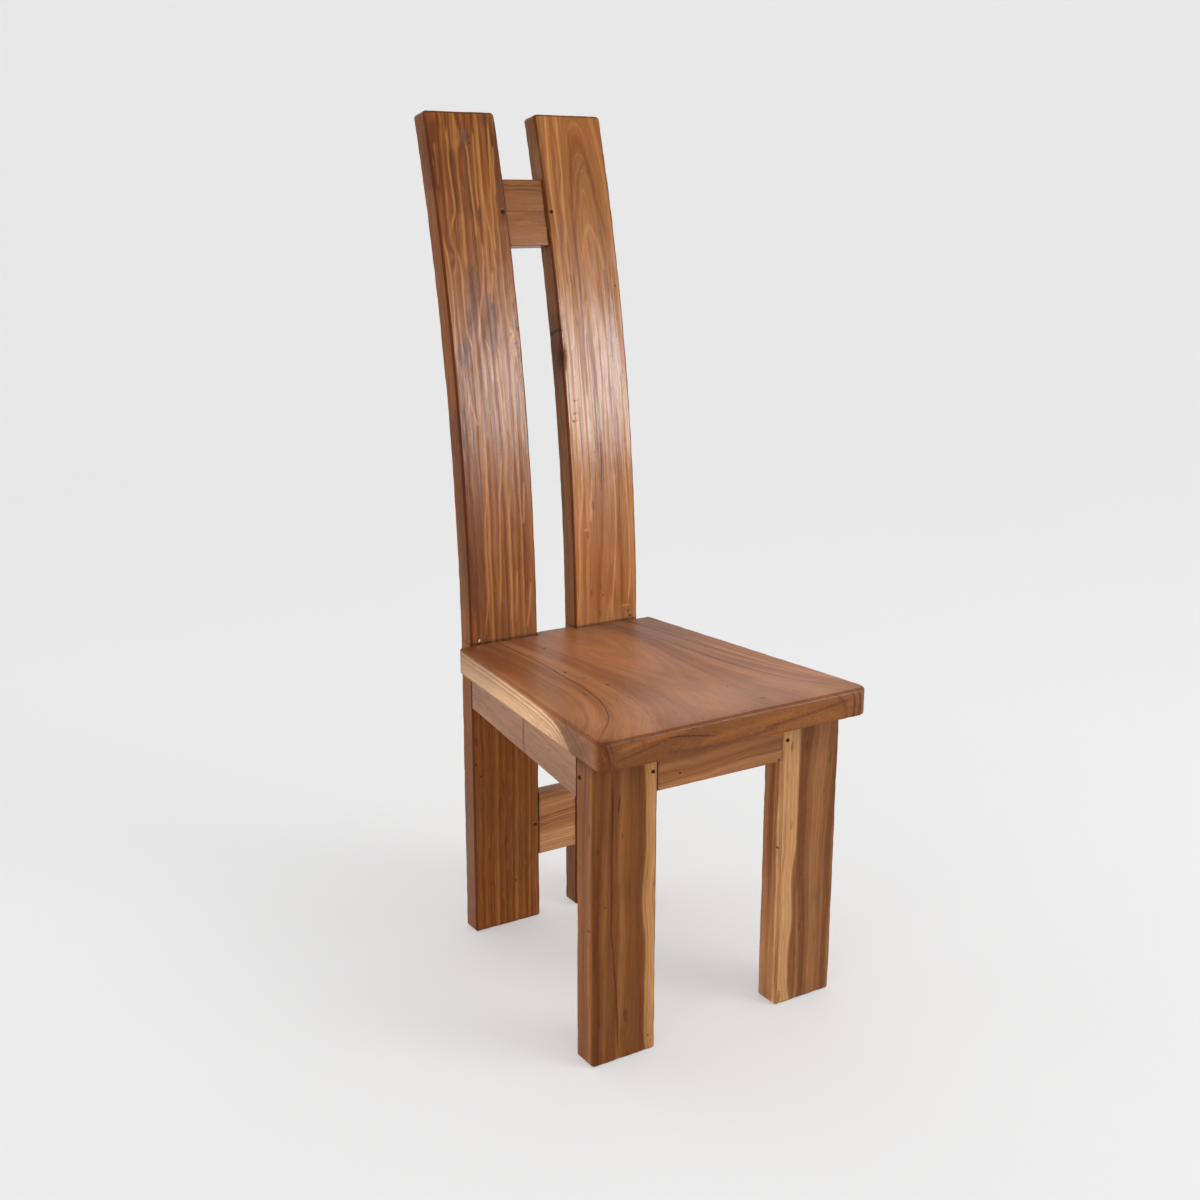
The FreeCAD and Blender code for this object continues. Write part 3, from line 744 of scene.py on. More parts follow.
post_left_wood = wood(
    "post_left_wood", seed=1.3, pith=(260, 190), front_only=True, band=9.0, spread=0.95, grit=0.5,
    slow=7.0, ripple=1.8, line_size=7.0, lines=0.16, veins=0.3, vein_size=11.0, dashes=0.28, wave=0.6,
    relief=0.4, ridges=0.4, dull=0.18, gloss=0.11, rough=(0.17, 0.25), rim=0.8,
    joints=[(1, 460.5, 1.8, 0.6)], burls=[(-40, 865, 195, 22, 22)],
    tones=[(101, 53, 17), (119, 66, 24), (135, 79, 34), (149, 90, 43), (186, 126, 67)],
    flanks=[(-143, -146, 0.19), (-36, -33.5, 0.2)],
    gain=[(0, 1.03), (400, 1.03), (700, 1.05), (950, 1), (1215, 0.86)],
    knots=[
        (-34, 890, 200, 15, 16), (-38, 835, 190, 9, -9), (-128, 1010, 222, 7, 10), (-94, 1176, 258, 7, 7),
    ],
    spots=[
        (-80.6, 1177, 259, 1.6), (-80.6, 1168, 257, 1.8), (-80.8, 740, 175, 1.6), (-141.8, 273.6, 155, 2.2),
        (-134, 253, 155, 2), (-76, 70, 155, 1.5), (-43.6, 889, 196, 2.2), (-49.6, 902, 198, 1.6),
        (-38.3, 910, 200, 1.8),
    ],
    streaks=strokes(8, 0.8, (94, 54, 16),
        [(1198, -131), (1157, -141), (1103, -142)], [(1186, -91), (1145, -89), (1103, -90), (1060, -88)],
        [(1158, -113), (1117, -114), (1070, -116)], [(960, -76), (920, -78), (870, -82)],
        [(1210, -52), (1130, -38), (1060, -40)], [(800, -142), (640, -143), (500, -138)],
        [(1000, -104), (940, -108), (860, -130)],
    )
    + strokes(1.6, 0.75, (194, 132, 74),
        [(1167, -136), (1143, -137), (1110, -139)],
        [(1185, -114), (1124, -118), (1091, -118), (1050, -127)], [(1168, -86), (1080, -87), (1042, -89)],
        [(1196, -64), (1152, -67), (1097, -70), (1034, -64), (993, -62)],
        [(1197, -47), (1138, -52), (1069, -58), (1020, -59)], [(1163, -44), (1097, -49)],
        [(1180, -74), (1130, -77), (1080, -80)], [(1035, -142), (977, -136), (919, -138), (879, -141)],
        [(1017, -121), (994, -118), (936, -121), (883, -113)],
        [(1028, -81), (993, -83), (966, -88), (938, -96), (896, -101)], [(990, -69), (946, -75)],
        [(896, -91), (868, -86), (840, -87)], [(888, -74), (853, -70), (810, -70), (767, -68)],
        [(821, -125), (797, -121), (778, -116)],
        [(760, -107), (677, -110), (617, -116), (559, -115), (475, -122)],
        [(735, -81), (704, -84), (650, -90), (553, -93), (510, -95)],
        [(681, -70), (625, -74), (554, -75), (490, -79)], [(690, -46), (630, -51)],
        [(560, -65), (484, -70)], [(540, -43), (500, -46), (475, -50)],
    ),
    patches=[
        (-139, 1130, 255, (6, 90, 60), 0.6, (98, 54, 22)),
        # Painted shade on the inner edge beside the head block
        (-38, 1066, 240, (12, 45, 60), 0.5, (96, 52, 24)),
        (-127, 570, 165, (9, 170, 60), 0.6, (94, 56, 14)), (-44, 860, 192, (4, 13, 20), 0.6, (122, 68, 38)),
        (-45, 797, 182, (5, 17, 20), 0.6, (124, 70, 38)),
        (-88, 1176, 259, (5, 10, 20), 0.3, (150, 130, 120)),
        (-90, 180, 155, (90, 190, 90), 0.62, (121, 77, 46)),
        # Painted light: the outer side face of the post made paler low down
        (-150, 120, 172, (7, 200, 60), 0.8, (138, 94, 68)),
    ],
)
post_right_wood = wood(
    "post_right_wood", seed=4.1, pith=(100, 118), lean=(0.0, 0.1), front_only=True, band=16.0, spread=0.75,
    grit=0.5, lines=0.14, line_size=6.0, veins=0.3, vein_size=12.0, dashes=0.15, fibre=0.7, slow=8.0,
    blotch=0.8, wave=0.8, relief=0.4, ridges=0.4, dull=0.44, gloss=0.14, rough=(0.18, 0.28), rim=0.7,
    flanks=[(36, 33.5, 0.48), (143, 146, 0.15)], joints=[(1, 460.5, 1.8, 0.6)],
    tones=[(121, 68, 28), (141, 84, 37), (156, 97, 47), (168, 107, 54), (194, 134, 76)],
    gain=[(0, 0.93), (420, 0.98), (500, 1.15), (700, 1.08), (950, 0.94), (1215, 0.9)],
    knots=[(61.2, 599.4, 162, 4, 5), (30, 890, 200, 14, 14)],
    spots=[
        (104.1, 1129, 247, 1), (129.3, 473.5, 156, 2.4), (125.6, 461.5, 156, 1.6), (83.4, 504, 157, 1.4),
        (76.7, 724.4, 173, 1.5), (137, 966, 210, 1.8), (53, 837, 187, 1.5), (119, 863, 192, 1.4),
        (115, 888, 195, 1.6),
    ]
    + [(x, z, y, 1.5) for x, y, z in DENTS],
    streaks=strokes(2.4, 0.55, (116, 66, 34),
        [(1182, 40), (1133, 38), (1090, 41), (1040, 44)], [(1193, 62), (1161, 64), (1090, 57), (1020, 55)],
        [(1190, 88), (1147, 84), (1105, 80), (1069, 77)],
        [(961, 64), (1004, 73), (1047, 77), (1090, 87), (1126, 96), (1148, 108)],
        [(1146, 111), (1119, 118), (1090, 122), (1040, 131)], [(915, 78), (900, 75), (884, 77)],
        [(918, 57), (890, 56), (870, 52)], [(902, 117), (888, 118), (867, 125)], [(842, 136), (825, 135)],
        [(856, 96), (821, 90), (778, 89), (740, 91)],
    )
    + strokes(1.8, 0.65, (206, 148, 90),
        [(1175, 36), (1140, 33), (1090, 32), (1033, 36)], [(1206, 51), (1161, 47), (1104, 44), (1030, 49)],
        [(1205, 71), (1161, 67), (1090, 63), (1033, 60)], [(970, 54), (933, 55), (904, 56), (875, 51)],
        [(946, 85), (918, 80), (896, 76)], [(809, 73), (772, 71), (742, 71)],
        [(699, 55), (654, 51), (609, 45), (564, 44), (468, 38)], [(682, 70), (622, 66)],
        [(694, 111), (618, 110), (556, 106), (466, 99)], [(692, 131), (631, 133), (553, 134), (490, 129)],
    )
    + strokes(2.6, 0.4, (204, 146, 90),
        [(1000, 84), (1030, 91), (1046, 97), (1054, 102)],
        [(1054, 104), (1046, 109), (1025, 115), (990, 121)],
    )
    + strokes(1.4, 0.9, (70, 40, 20), [(738, 90), (715, 89), (688, 88), (665, 87)]),
    # The crack on the inner side: a real crack, its near-black partly painted shade of its depth
    paths=[(2, 1, (0, 40, 35), [(198, 906), (212, 901), (229, 894)], 2.3, 1, (24, 14, 10))],
    patches=[
        # The hollow on the inner side: near-black partly painted shade inside the hollow, with darker wood
        # around it
        (34, 866, 196, (6, 17, 7.5), 1, (26, 14, 10)), (33, 880, 204, (5, 60, 22), 0.75, (84, 47, 25)),
        # Painted shade on the inner edge beside the head block
        (36, 1075, 238, (7, 50, 50), 0.4, (110, 62, 30)),
        (125.6, 483, 157, (7, 1.6, 8), 0.7, (214, 156, 96)),
        (57, 608, 162, (4, 1.8, 8), 0.6, (216, 160, 100)),
    ],
)
leg_left_wood = wood(
    "front_leg_left_wood", seed=7.7, pith=(-60, -420), lean=(0.02, 0.0), band=11.0, spread=0.6, grit=0.5,
    lines=0.1, line_size=6.0, dashes=0.12, veins=0.12, wave=0.6, flanks=[(-196.5, -199, -0.32)],
    joints=[(1, 420, 11, 0.68)], fibre=0.7, sap=(192, 141, 90), sap_dark=(148, 100, 58),
    sapwood=left_leg_sap,
    tones=[(84, 46, 22), (100, 58, 30), (115, 70, 37), (130, 82, 46), (156, 106, 62)],
    streaks=strokes(1.3, 0.75, (62, 32, 16), [(380, -170), (206, -171), (150, -168), (87, -163), (20, -160)])
    + strokes(5, 0.35, (138, 88, 48),
        [(415, -180), (300, -184), (200, -182), (60, -176)], [(410, -150), (320, -147), (250, -146)],
    )
    + strokes(5, 0.4, (92, 52, 26), [(415, -130), (300, -127), (200, -130), (90, -126), (5, -123)]),
    spots=[
        (-180.6, 222.9, -262, 1.5), (-163.3, 87, -262, 1.3), (-112.9, 21.9, -262, 1.3),
        (-199.5, 191, -253, 1.6), (-199.5, 344, -221, 2),
    ],
)
leg_right_wood = wood(
    "front_leg_right_wood", seed=9.2, pith=(20, -500), lean=(0.03, 0.0), band=11.0, spread=0.7, grit=0.5,
    lines=0.12, line_size=6.0, dashes=0.16, veins=0.2, wave=0.6, flanks=[(104, 102, -0.35)],
    joints=[(1, 420, 11, 0.68)], fibre=0.7, sap=(198, 150, 102), sap_dark=(164, 116, 74),
    sapwood=right_leg_sap,
    tones=[(96, 58, 34), (116, 73, 44), (132, 87, 54), (146, 98, 62), (172, 122, 80)],
    streaks=strokes(4, 0.5, (92, 56, 32),
        [(415, 136), (300, 137), (220, 134), (130, 131), (60, 132), (5, 132)],
    ),
    spots=[(139.3, 190.3, -262, 1.5), (101.5, 236.8, -256.5, 1.6)],
    patches=[
        (167.7, 146, -262, (9, 12, 20), 0.5, (104, 84, 66)),
        (100, 60, -240, (5, 120, 50), 0.55, (168, 122, 82)),
    ],
)
seat_wood = wood(
    "seat_wood", seed=12.4, pith=(4, 352), lean=(0.0, 0.05), band=30.0, spread=0.65, lines=0.16,
    line_size=6.0, veins=0.1, dashes=0.1, rim=0.25, slow=10.0, ripple=1.8, blotch=0.8, rough=(0.24, 0.32),
    gloss=0.18, coat=0.02, relief=0.5, wave=0.3, fibre=0.8, end=0.0, sap=(240, 193, 147),
    sap_dark=(180, 130, 88), sap_lines=0.3, sapwood=seat_sap, flow=seat_flow,
    tones=[(111, 65, 37), (139, 85, 51), (158, 101, 63), (169, 110, 70), (191, 133, 89)],
    gain=[(-302.5, 0.86), (-300, 0.86), (-296, 1), (-280, 1.1), (-150, 1.04), (60, 1), (155, 0.74)],
    patches=[
        (-212, -240, 440, (26, 60, 40), 0.75, (108, 68, 44)),
        # Darker at the back left beside the left post: partly darker wood, partly painted shade
        (-150, 90, 460, (38, 150, 30), 0.85, (110, 60, 30)),
        (140, 100, 460, (60, 130, 30), 0.6, (96, 62, 40)),
        # Painted sheen: a pale greyish-pink patch over the front half of the seat top
        (50, -230, 460, (200, 70, 12), 0.4, (178, 134, 112)),
        (0.0, -303, 440, (900, 4.5, 900), 0.85, (138, 82, 16)),
        (-130, -303, 440, (150, 4.5, 90), 0.7, (118, 68, 4)),
        (-208, -298, 438, (14, 10, 60), 0.85, (98, 54, 14)),
    ],
    streaks=[
        (SEAT_LEFT, 1.3, 0.85, (70, 38, 20)),
        ([(-85, -80), (-109, -79), (-178, -85), (-252, -105)], 1.5, 0.45, (96, 54, 30)),
        (SEAT_RIGHT, 2.6, 0.65, (90, 52, 30)),
    ]
    + strokes(4, 0.5, (182, 130, 88),
        [(160, 108), (55, 127), (-97, 146), (-200, 172)], [(160, 126), (55, 141), (-97, 163), (-220, 190)],
    )
    + strokes(3, 0.4, (112, 66, 38), [(160, 117), (55, 134), (-97, 155), (-210, 182)]),
    paths=on_face(0, 2, SEAT_CORNER_FACE,
        ([(-206, 456), (-202, 441), (-199, 422)], 2.2, 0.75, (52, 28, 10)),
        ([(-200, 457), (-195, 442), (-193, 422)], 2, 0.7, (56, 30, 12)),
        ([(-210, 452), (-207, 438), (-204, 422)], 1.6, 0.6, (156, 98, 44)),
        ([(-203, 456), (-198, 440), (-196, 424)], 1.2, 0.5, (160, 102, 48)),
    )
    + on_face(1, 2, SEAT_LEFT_FACE,
        ([(-246, 416), (-232, 430), (-214, 442), (-180, 452)], 2, 0.4, (96, 60, 40)),
        ([(-264, 418), (-250, 432), (-232, 444), (-204, 455)], 2.5, 0.5, (88, 54, 36)),
        ([(-284, 420), (-268, 434), (-250, 446), (-226, 457)], 2, 0.4, (84, 50, 34)),
    )
    + on_face(0, 2, SEAT_FRONT_FACE,
        ([(-112, 450), (-80, 446), (-41, 439)], 1.1, 0.85, (62, 32, 16)),
        ([(-190, 433), (-150, 441), (-118, 448)], 1, 0.6, (74, 40, 20)),
        ([(-120, 431), (-40, 426), (60, 432)], 3, 0.5, (84, 44, 20)),
        ([(-185, 446), (-140, 452), (-90, 455)], 3, 0.6, (172, 104, 54)),
        ([(-60, 436), (20, 441), (80, 446)], 3.5, 0.5, (164, 98, 50)),
        ([(40, 434), (110, 440), (180, 448)], 2.2, 0.55, (88, 46, 20)),
    )
    + on_face(2, 0, SEAT_FRONT_FACE,
        ([(420, 176), (440, 172), (458, 158)], 3, 0.5, (88, 50, 26)),
        ([(420, 187), (440, 189), (458, 184)], 2, 0.75, (70, 38, 20)),
        ([(420, 197), (440, 199), (458, 195)], 2.5, 0.7, (72, 40, 22)),
        ([(422, -190), (440, -201), (458, -202)], 3, 0.35, (74, 42, 22)),
    ),
    spots=[
        (194.7, -149, 460, 2), (83.5, -74.7, 460, 2), (52.8, -200.5, 460, 2.2), (12.4, -292, 460, 1.5),
        (-64.6, 84.2, 460, 2.5), (-98.2, -30.4, 460, 2.5), (-79.3, -108.9, 460, 2.5),
    ],
)
block_wood = wood(
    "head_block_wood", seed=15.1, pith=(1210, 60), band=18.0, spread=0.5, slow=4.0, ripple=0.8, lines=0.14,
    veins=0.1, dashes=0.1, relief=0.4, wave=0.15,
    tones=[(100, 58, 28), (116, 70, 33), (130, 80, 40), (142, 91, 48), (162, 108, 60)],
    spots=[(1099.7, -25.2, 239.4, 1.6)],
    streaks=strokes(1.3, 0.7, (82, 46, 24), [(-33, 1112), (0, 1110), (33, 1111)])
    + strokes(1.2, 0.6, (86, 48, 26), [(-33, 1104), (0, 1104), (33, 1102)])
    + strokes(2, 0.35, (96, 54, 28), [(-33, 1086), (33, 1085)], [(-33, 1074), (33, 1072)])
    + strokes(26, 0.5, (158, 106, 64), [(-33, 1036), (33, 1036)]),
)
stretcher_wood = wood(
    "stretcher_wood", seed=18.6, pith=(300, 80), lean=(0.06, 0.0), band=16.0, spread=0.95, wave=0.6,
    sap=(202, 150, 104), sap_dark=(168, 118, 76), sapwood=stretcher_sap,
    tones=[(122, 76, 44), (146, 96, 59), (163, 109, 69), (177, 122, 79), (202, 147, 101)],
)
front_apron_wood = wood(
    "front_apron_wood", seed=21.9, pith=(330, -300), lean=(0.05, 0.0), band=20.0, spread=0.75, dashes=0.15,
    veins=0.2, wave=0.6,
    tones=[(100, 58, 31), (128, 80, 46), (146, 96, 59), (158, 107, 68), (176, 124, 84)],
    spots=[(381, -67, -261, 1.8), (404, -61, -261, 1.2), (366, 95, -261, 2)],
)


def side_apron_wood(side):
    """The left board has a crack across it."""
    crack = [(363, 208), (375, 205), (392, 204), (420, 203)]
    face = (2, 12.0, 6.0)
    paths = [(0, 1, face, crack, 6.0, 0.35, (96, 60, 38)), (0, 1, face, crack, 1.6, 0.9, (52, 30, 18))]
    return wood(
        f"side_apron_{side_word(side)}_wood", seed=24.5 + side, pith=(300, 60), lean=(-0.04, 0.0),
        band=22.0, spread=0.65, dashes=0.1, veins=0.15, wave=0.6, paths=paths if side < 0 else (),
        tones=[(116, 74, 48), (138, 92, 62), (154, 106, 76), (164, 116, 86), (184, 136, 102)],
    )


def side_word(side):
    return "left" if side < 0 else "right"


hidden_wood = wood("hidden_wood", seed=28.3, pith=(330.0, -60.0), band=16.0, spread=0.8)


# The boards themselves


def make_post(side, material, sculpts, dense_along=()):
    word = side_word(side)
    grooves = [
        ring_groove((side * PIN_X, face_depth(z), z), 1, PIN_RADIUS + 0.3)
        for z in (BLOCK_PIN_Z, STRETCHER_PIN_Z, APRON_PIN_Z)
    ]
    grooves.append(ring_groove((side * NAIL_X, POST_FACE, NAIL_Z), 1, NAIL_RADIUS + 0.2, 0.4, 0.5))
    heights = [along_post(z) for z in (BLOCK_PIN_Z, STRETCHER_PIN_Z, APRON_PIN_Z, NAIL_Z)]
    across = near_lines([PIN_X - POST_INNER, NAIL_X - POST_INNER])
    board(
        f"post_{word}_plank", material, f"post_{word}_wood", [f"post_{word}"],
        (POST_WIDTH, POST_LENGTH, POST_THICKNESS), post_shape(side), upright, corner=(4.5, 6.0), step=4.0,
        dense=(across, near_lines(heights) + tuple(dense_along), ()), seed=3.0 + side,
        sculpts=grooves + list(sculpts),
    )


def make_leg(side, material):
    word = side_word(side)
    pin_x = LEG_INNER + PIN_INSET
    pin_y = LEG_FACE + LEG_THICKNESS - PIN_INSET
    grooves = [
        ring_groove((side * pin_x, LEG_FACE, APRON_PIN_Z), 1, PIN_RADIUS + 0.3),
        ring_groove((side * (LEG_INNER + LEG_WIDTH), pin_y, APRON_PIN_Z), 0, PIN_RADIUS + 0.3),
    ]
    board(
        f"front_leg_{word}_plank", material, f"front_leg_{word}_wood", [f"front_leg_{word}"],
        (LEG_WIDTH, SEAT_UNDER, LEG_THICKNESS),
        placed((side * LEG_INNER, LEG_FACE, 0.0), (side, 0, 0), (0, 0, 1), (0, 1, 0)), upright,
        corner=(4.5, 0.6), edge=(3.5, 3.5, 0.6),
        dense=(near_lines([PIN_INSET]), near_lines([APRON_PIN_Z]), near_lines([pin_y - LEG_FACE])),
        seed=11.0 + side, sculpts=grooves,
    )


def make_rail(name, material, slot, origin, height, length, turned=0.0, **how):
    """A level board between two uprights, upright or tilted back by an angle."""
    upward = (0, math.sin(turned), math.cos(turned))
    backward = (0, math.cos(turned), -math.sin(turned))
    board(
        f"{name}_board", material, slot, [name], (height, length, RAIL_THICKNESS),
        placed(origin, upward, (1, 0, 0), backward), sideways, corner=(0.4, 0.4), edge=(1.5, 0.3, 0.3),
        stretch=(4.0, 1.0, 1.0), wear=0.4, **how,
    )


APRON_RUN = LEG_THICKNESS + LEG_FACE - POST_FACE
APRON_SPREAD = LEG_INNER + LEG_WIDTH - POST_INNER - POST_WIDTH
APRON_LENGTH = math.hypot(APRON_RUN, APRON_SPREAD)
SLANT = math.atan2(APRON_SPREAD, -APRON_RUN)


def make_side_apron(side, material):
    """A board from the post's outer edge to the wider-set front leg."""
    outer = POST_INNER + POST_WIDTH
    origin = (side * outer, POST_FACE, SEAT_UNDER - APRON_HEIGHT)
    along = np.array([side * APRON_SPREAD, APRON_RUN, 0.0]) / APRON_LENGTH
    inward = (-side / math.cos(SLANT), 0, 0)

    def grain(points):
        run = (POST_FACE - points[:, 1]) / -APRON_RUN
        deep = outer + APRON_SPREAD * run - side * points[:, 0]
        return np.stack([points[:, 2], run * APRON_LENGTH, deep], 1)

    board(
        f"side_apron_{side_word(side)}_board", material, "side_apron_wood",
        [f"side_apron_{side_word(side)}"], (APRON_HEIGHT, APRON_LENGTH, RAIL_THICKNESS),
        placed(origin, (0, 0, 1), along, inward), grain, corner=(0.4, 0.4), edge=(0.6, 0.3, 0.3),
        stretch=(1.0, 4.0, 1.0), seed=31.0 + side, wear=0.4,
    )


def make_corner_block(side, end):
    """A block in the corner of a side apron and an upright, under the seat."""
    inner = RAIL_THICKNESS / math.cos(SLANT)
    if end == "front":
        start_x, start_y, way = LEG_INNER + LEG_WIDTH - inner, LEG_FACE + LEG_THICKNESS, 1
    else:
        start_x, start_y, way = POST_INNER + POST_WIDTH - inner, POST_FACE, -1
    along = (-side * way * math.sin(SLANT), way * math.cos(SLANT), 0)
    board(
        f"corner_block_{end}_{side_word(side)}_board", hidden_wood, "hidden_wood",
        [f"corner_block_{end}_{side_word(side)}"], (CORNER_SIZE, CORNER_SIZE, CORNER_SIZE),
        placed((side * start_x, start_y, SEAT_UNDER - CORNER_SIZE), (-side, 0, 0), along, (0, 0, 1)),
        lengthwise, corner=(0.8, 0.8), edge=(0.8, 0.8, 0.8), seed=41.0 + side + way, wear=0.3,
    )


def seat_shape(points):
    """Wider in front, with a tongue at the back between the posts."""
    a, b, d = points.T
    back = b / SEAT_DEPTH
    half = SEAT_HALF_FRONT + (SEAT_HALF_BACK - SEAT_HALF_FRONT) * back
    x = (a - SEAT_HALF_FRONT) * half / SEAT_HALF_FRONT
    ramp = np.clip((b - (SEAT_DEPTH - TONGUE_START)) / TONGUE_RAMP, 0.0, 1.0)
    tongue = TONGUE_DEPTH * ramp * (np.abs(a - SEAT_HALF_FRONT) < TONGUE_PLACE + 0.1)
    return np.stack([x, POST_FACE - SEAT_DEPTH + b + tongue, SEAT_UNDER + d], 1)


TONGUE_PLACE = TONGUE_HALF * SEAT_HALF_FRONT / SEAT_HALF_BACK
tongue_lines = []
for rim in (TONGUE_PLACE, TONGUE_PLACE + 0.4):
    for middle in (SEAT_HALF_FRONT - rim, SEAT_HALF_FRONT + rim):
        tongue_lines.append((middle, middle + 0.01, 1.0))

make_post(-1, post_left_wood, ())
make_post(
    1,
    post_right_wood,
    [pit((33.0, 194.0, 866.0), (5.0, 6.0, 15.0), 2.4)]
    + [pit((33.0, y, z), (3.0, 5.0, 2.0), 1.1) for y, z in ((202.0, 904.5), (211.0, 901.0), (220.0, 897.5))]
    + [pit(dent, (2.4, 4.0, 1.3), 0.45) for dent in DENTS],
    near_lines([along_post(900.0), along_post(867.0)], 10.0, 1.6)
    + near_lines([along_post(dent[2]) for dent in DENTS], 3.0, 1.0),
)
make_leg(-1, leg_left_wood)
make_leg(1, leg_right_wood)
HALF_RAIL = RAIL_THICKNESS / 2
block_origin = np.array([-POST_INNER, BLOCK_DEPTH, BLOCK_MIDDLE])
block_origin -= BLOCK_HEIGHT / 2 * np.array([0, math.sin(BLOCK_TILT), math.cos(BLOCK_TILT)])
block_origin -= HALF_RAIL * np.array([0, math.cos(BLOCK_TILT), -math.sin(BLOCK_TILT)])
make_rail("head_block", block_wood, "head_block_wood", block_origin, BLOCK_HEIGHT, 2 * POST_INNER, BLOCK_TILT)
behind = POST_FACE + RAIL_SETBACK
low_origin = (-POST_INNER, behind, STRETCHER_BOTTOM)
make_rail("rear_stretcher", stretcher_wood, "stretcher_wood", low_origin, STRETCHER_HEIGHT, 2 * POST_INNER)
APRON_BOTTOM = SEAT_UNDER - APRON_HEIGHT
rear_origin = (-POST_INNER, behind, APRON_BOTTOM)
make_rail("rear_apron", hidden_wood, "hidden_wood", rear_origin, APRON_HEIGHT, 2 * POST_INNER)
front_origin = (-LEG_INNER, LEG_FACE + RAIL_SETBACK, APRON_BOTTOM)
make_rail("front_apron", front_apron_wood, "front_apron_wood", front_origin, APRON_HEIGHT, 2 * LEG_INNER)
for side in (-1, 1):
    make_side_apron(side, side_apron_wood(side))
    for end in ("front", "rear"):
        make_corner_block(side, end)
board(
    "seat_plank", seat_wood, "seat_wood", ["seat_slab"], (2 * SEAT_HALF_FRONT, SEAT_DEPTH, SEAT_THICKNESS),
    seat_shape, lengthwise, corner=(16.0, 8.0), edge=(5.0, 5.0, 5.0), step=5.0,
    dense=(tongue_lines, (), ()), stretch=(1.0, 2.0, 1.0), seed=51.0, uneven=0.6,
)


# Small parts that keep their CAD shape


def position(net):
    """The place of a point in millimetres."""
    return [part * 1000.0 for part in net.add("ShaderNodeNewGeometry", out="Position").parts()]


def pin_wood():
    """Dark pin ends; the stretcher's are browner."""
    material = bpy.data.materials.new("pin_wood")
    net = Net(material)
    x, y, z = position(net)
    speck = net.noise(net.vector(x * 1.4, y * 0.2, z * 1.4), detail=3.0)
    tone = net.ramp(speck, [(0.35, colour((44, 25, 14))), (0.65, colour((74, 44, 26)))])
    low = net.ramp(speck, [(0.35, colour((70, 40, 22))), (0.65, colour((98, 60, 34)))])
    tone = net.mix(net.step(z, 300.0, 250.0), tone, low)
    bump = net.add("ShaderNodeBump", {"Strength": 0.5, "Distance": 0.0004, "Height": speck})
    rough = net.step(speck, 0.3, 0.7, 0.75, 0.9)
    net.finish({"Base Color": tone, "Roughness": rough, "Specular IOR Level": 0.05, "Normal": bump})
    return material


def steel(name, bright, dull, rusty_from=900.0):
    """Fine-brushed steel with a little tarnish; beyond a place across it is brown with rust."""
    material = bpy.data.materials.new(name)
    net = Net(material)
    x, y, z = position(net)
    speck = net.noise(net.vector(x * 0.9, y * 0.9, z * 0.9), detail=4.0, rough=0.6)
    rust = net.step(x, rusty_from, rusty_from + 1.0)
    tone = net.ramp(speck, [(0.35, colour(dull)), (0.6, colour(bright))])
    tone = net.mix(rust, tone, net.ramp(speck, [(0.35, colour((34, 20, 12))), (0.6, colour((60, 36, 22)))]))
    bump = net.add("ShaderNodeBump", {"Strength": 0.3, "Distance": 0.0002, "Height": speck})
    rough = net.step(speck, 0.3, 0.7, 0.5, 0.28) + rust * 0.4
    metal = 1.0 - rust
    net.finish({"Base Color": tone, "Metallic": metal, "Roughness": rough, "Normal": bump})
    return material


finishes = {"pins": pin_wood(), "screws": steel("screw_steel", (190, 188, 180), (140, 130, 110))}
finishes["nails"] = steel("nail_steel", (170, 168, 166), (70, 60, 54), rusty_from=0.0)
for name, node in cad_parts.items():
    kind = name.split("_")[-1]
    if kind in finishes:
        for number in range(len(node.material_slots)):
            node.material_slots[number].material = finishes[kind]

# Camera, fitted to the photograph's corners and outlines
CAMERA_PLACE = (-1.137872, -1.748534, 1.085476)
CAMERA_YAW = 0.567919
CAMERA_PITCH = 0.254621
CAMERA_ROLL = 0.002443
CAMERA_LENS = 45.7107
SENSOR = 36.0

forward = Vector(
    (
        math.sin(CAMERA_YAW) * math.cos(CAMERA_PITCH),
        math.cos(CAMERA_YAW) * math.cos(CAMERA_PITCH),
        -math.sin(CAMERA_PITCH),
    )
)
level = Vector((math.cos(CAMERA_YAW), -math.sin(CAMERA_YAW), 0.0))
above = level.cross(forward)
right = level * math.cos(CAMERA_ROLL) + above * math.sin(CAMERA_ROLL)
up = above * math.cos(CAMERA_ROLL) - level * math.sin(CAMERA_ROLL)
lens = bpy.data.cameras.new("camera")
lens.lens = CAMERA_LENS
lens.sensor_width = SENSOR
lens.clip_end = 60.0
camera = bpy.data.objects.new("camera", lens)
bpy.context.scene.collection.objects.link(camera)
turned = Matrix((right, up, -forward)).transposed().to_4x4()
camera.matrix_world = Matrix.Translation(CAMERA_PLACE) @ turned
bpy.context.scene.camera = camera
bpy.context.scene.view_settings.view_transform = "Standard"


# Floor, backdrop and light


WHITE = (1.0, 1.0, 1.0, 1.0)
PAPER_GLOW = 0.315
WORLD_LIGHT = 0.6
FLOOR_RADIUS = 4.0
WALL_ROUND = 3.0
WALL_TOP = 6.0
STUDIO_SIDES = 96


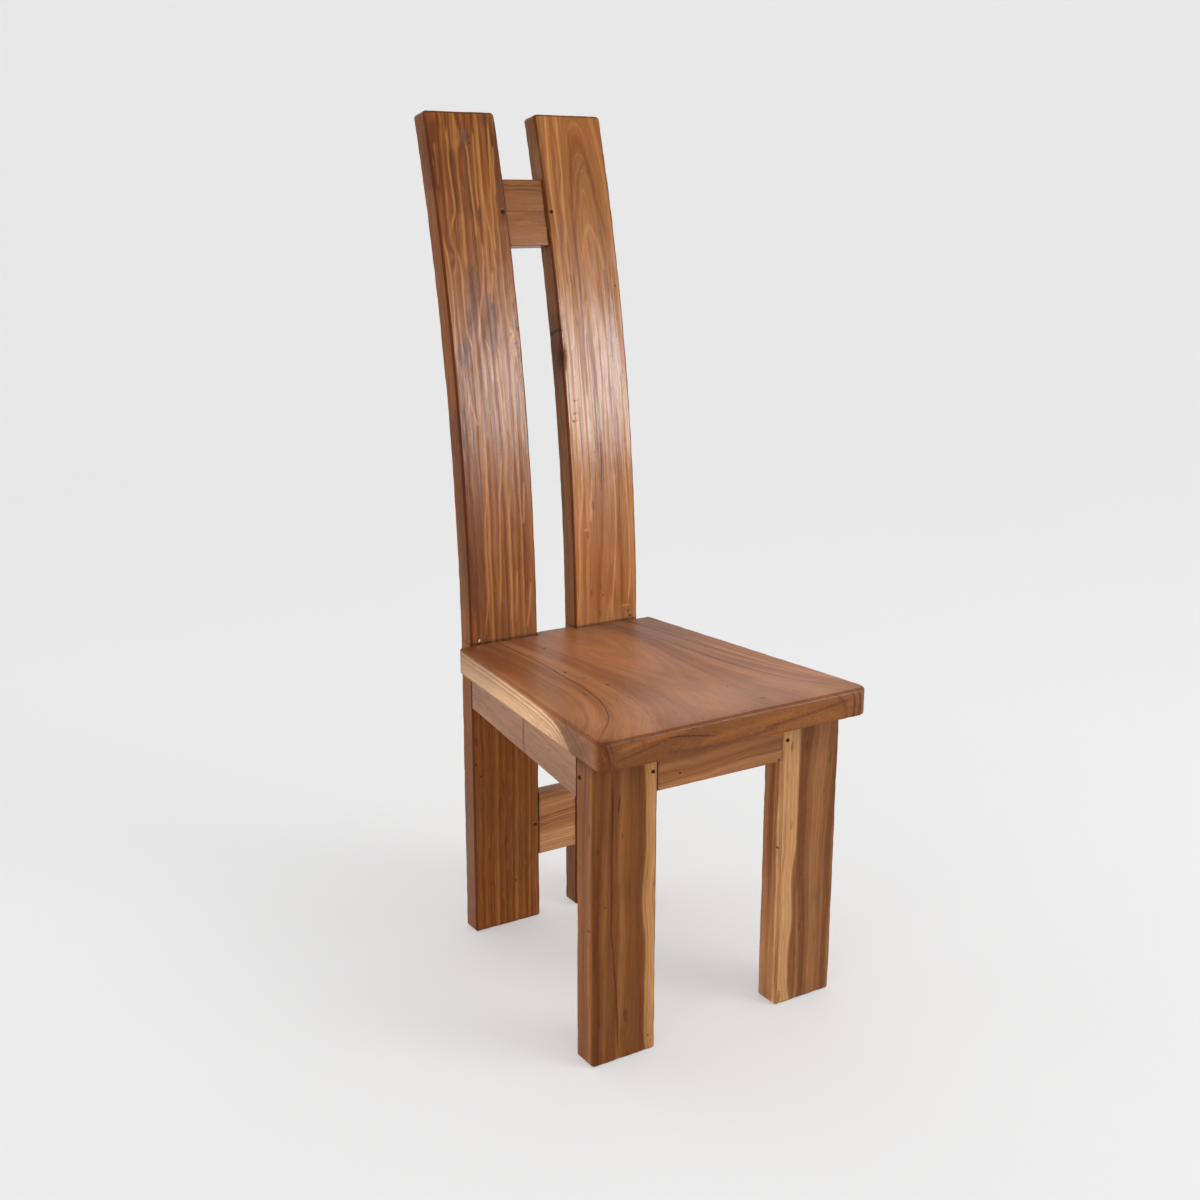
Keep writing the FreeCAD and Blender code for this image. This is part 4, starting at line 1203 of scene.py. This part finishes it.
def studio():
    """A round pale floor that curves up into a wall on every side."""
    profile = [(radius, 0.0) for radius in np.linspace(0.0, FLOOR_RADIUS, 12)]
    for turn in np.linspace(0.0, math.pi / 2, 16)[1:]:
        out, rise = WALL_ROUND * math.sin(turn), WALL_ROUND - WALL_ROUND * math.cos(turn)
        profile.append((FLOOR_RADIUS + out, rise))
    profile.append((FLOOR_RADIUS + WALL_ROUND, WALL_TOP))
    points = []
    quads = []
    for radius, height in profile:
        for number in range(STUDIO_SIDES):
            turn = 2 * math.pi * number / STUDIO_SIDES
            points.append((radius * math.cos(turn), radius * math.sin(turn), height))
    for ring in range(len(profile) - 1):
        for number in range(STUDIO_SIDES):
            after = (number + 1) % STUDIO_SIDES
            low, high = ring * STUDIO_SIDES, (ring + 1) * STUDIO_SIDES
            quads.append((low + number, low + after, high + after, high + number))
    mesh = bpy.data.meshes.new("studio")
    mesh.from_pydata(points, [], quads)
    mesh.polygons.foreach_set("use_smooth", [True] * len(quads))
    material = bpy.data.materials.new("studio_paper")
    net = Net(material)
    grain = net.noise(net.add("ShaderNodeNewGeometry", out="Position"), detail=2.0)
    tone = net.ramp(grain, [(0.3, colour((208, 208, 208))), (0.7, colour((209, 209, 209)))])
    inputs = {"Base Color": tone, "Roughness": 0.8, "Specular IOR Level": 0.0}
    net.finish({**inputs, "Emission Color": WHITE, "Emission Strength": PAPER_GLOW})
    mesh.materials.append(material)
    floor = bpy.data.objects.new("studio", mesh)
    bpy.context.scene.collection.objects.link(floor)


def softbox(name, place, aim, width, height, power):
    """A large soft light."""
    lamp = bpy.data.lights.new(name, "AREA")
    lamp.shape = "RECTANGLE"
    lamp.size = width
    lamp.size_y = height
    lamp.energy = power
    light = bpy.data.objects.new(name, lamp)
    light.location = place
    light.rotation_euler = (Vector(aim) - Vector(place)).to_track_quat("-Z", "Y").to_euler()
    bpy.context.scene.collection.objects.link(light)
    return light


studio()
world = bpy.data.worlds.new("world")
bpy.context.scene.world = world
world.use_nodes = True
sky = world.node_tree.nodes["Background"]
sky.inputs[0].default_value = WHITE
sky.inputs[1].default_value = WORLD_LIGHT
glint = softbox("glint", (1.9, -2.58, 1.28), (0.0, 0.15, 0.85), 0.84, 1.0, 162.0)
glint.data.shape = "ELLIPSE"
glint.visible_diffuse = False
key = softbox("key", (2.9, -3.85, 5.0), (0.0, 0.0, 0.2), 2.4, 2.4, 74.0)
key.visible_glossy = False
fill = softbox("fill", (-3.2, -1.6, 2.6), (0.0, 0.0, 0.3), 1.6, 1.6, 8.0)
fill.visible_glossy = False
softbox("top", (0.0, 0.2, 3.6), (0.0, 0.0, 0.0), 2.6, 2.6, 8.0)
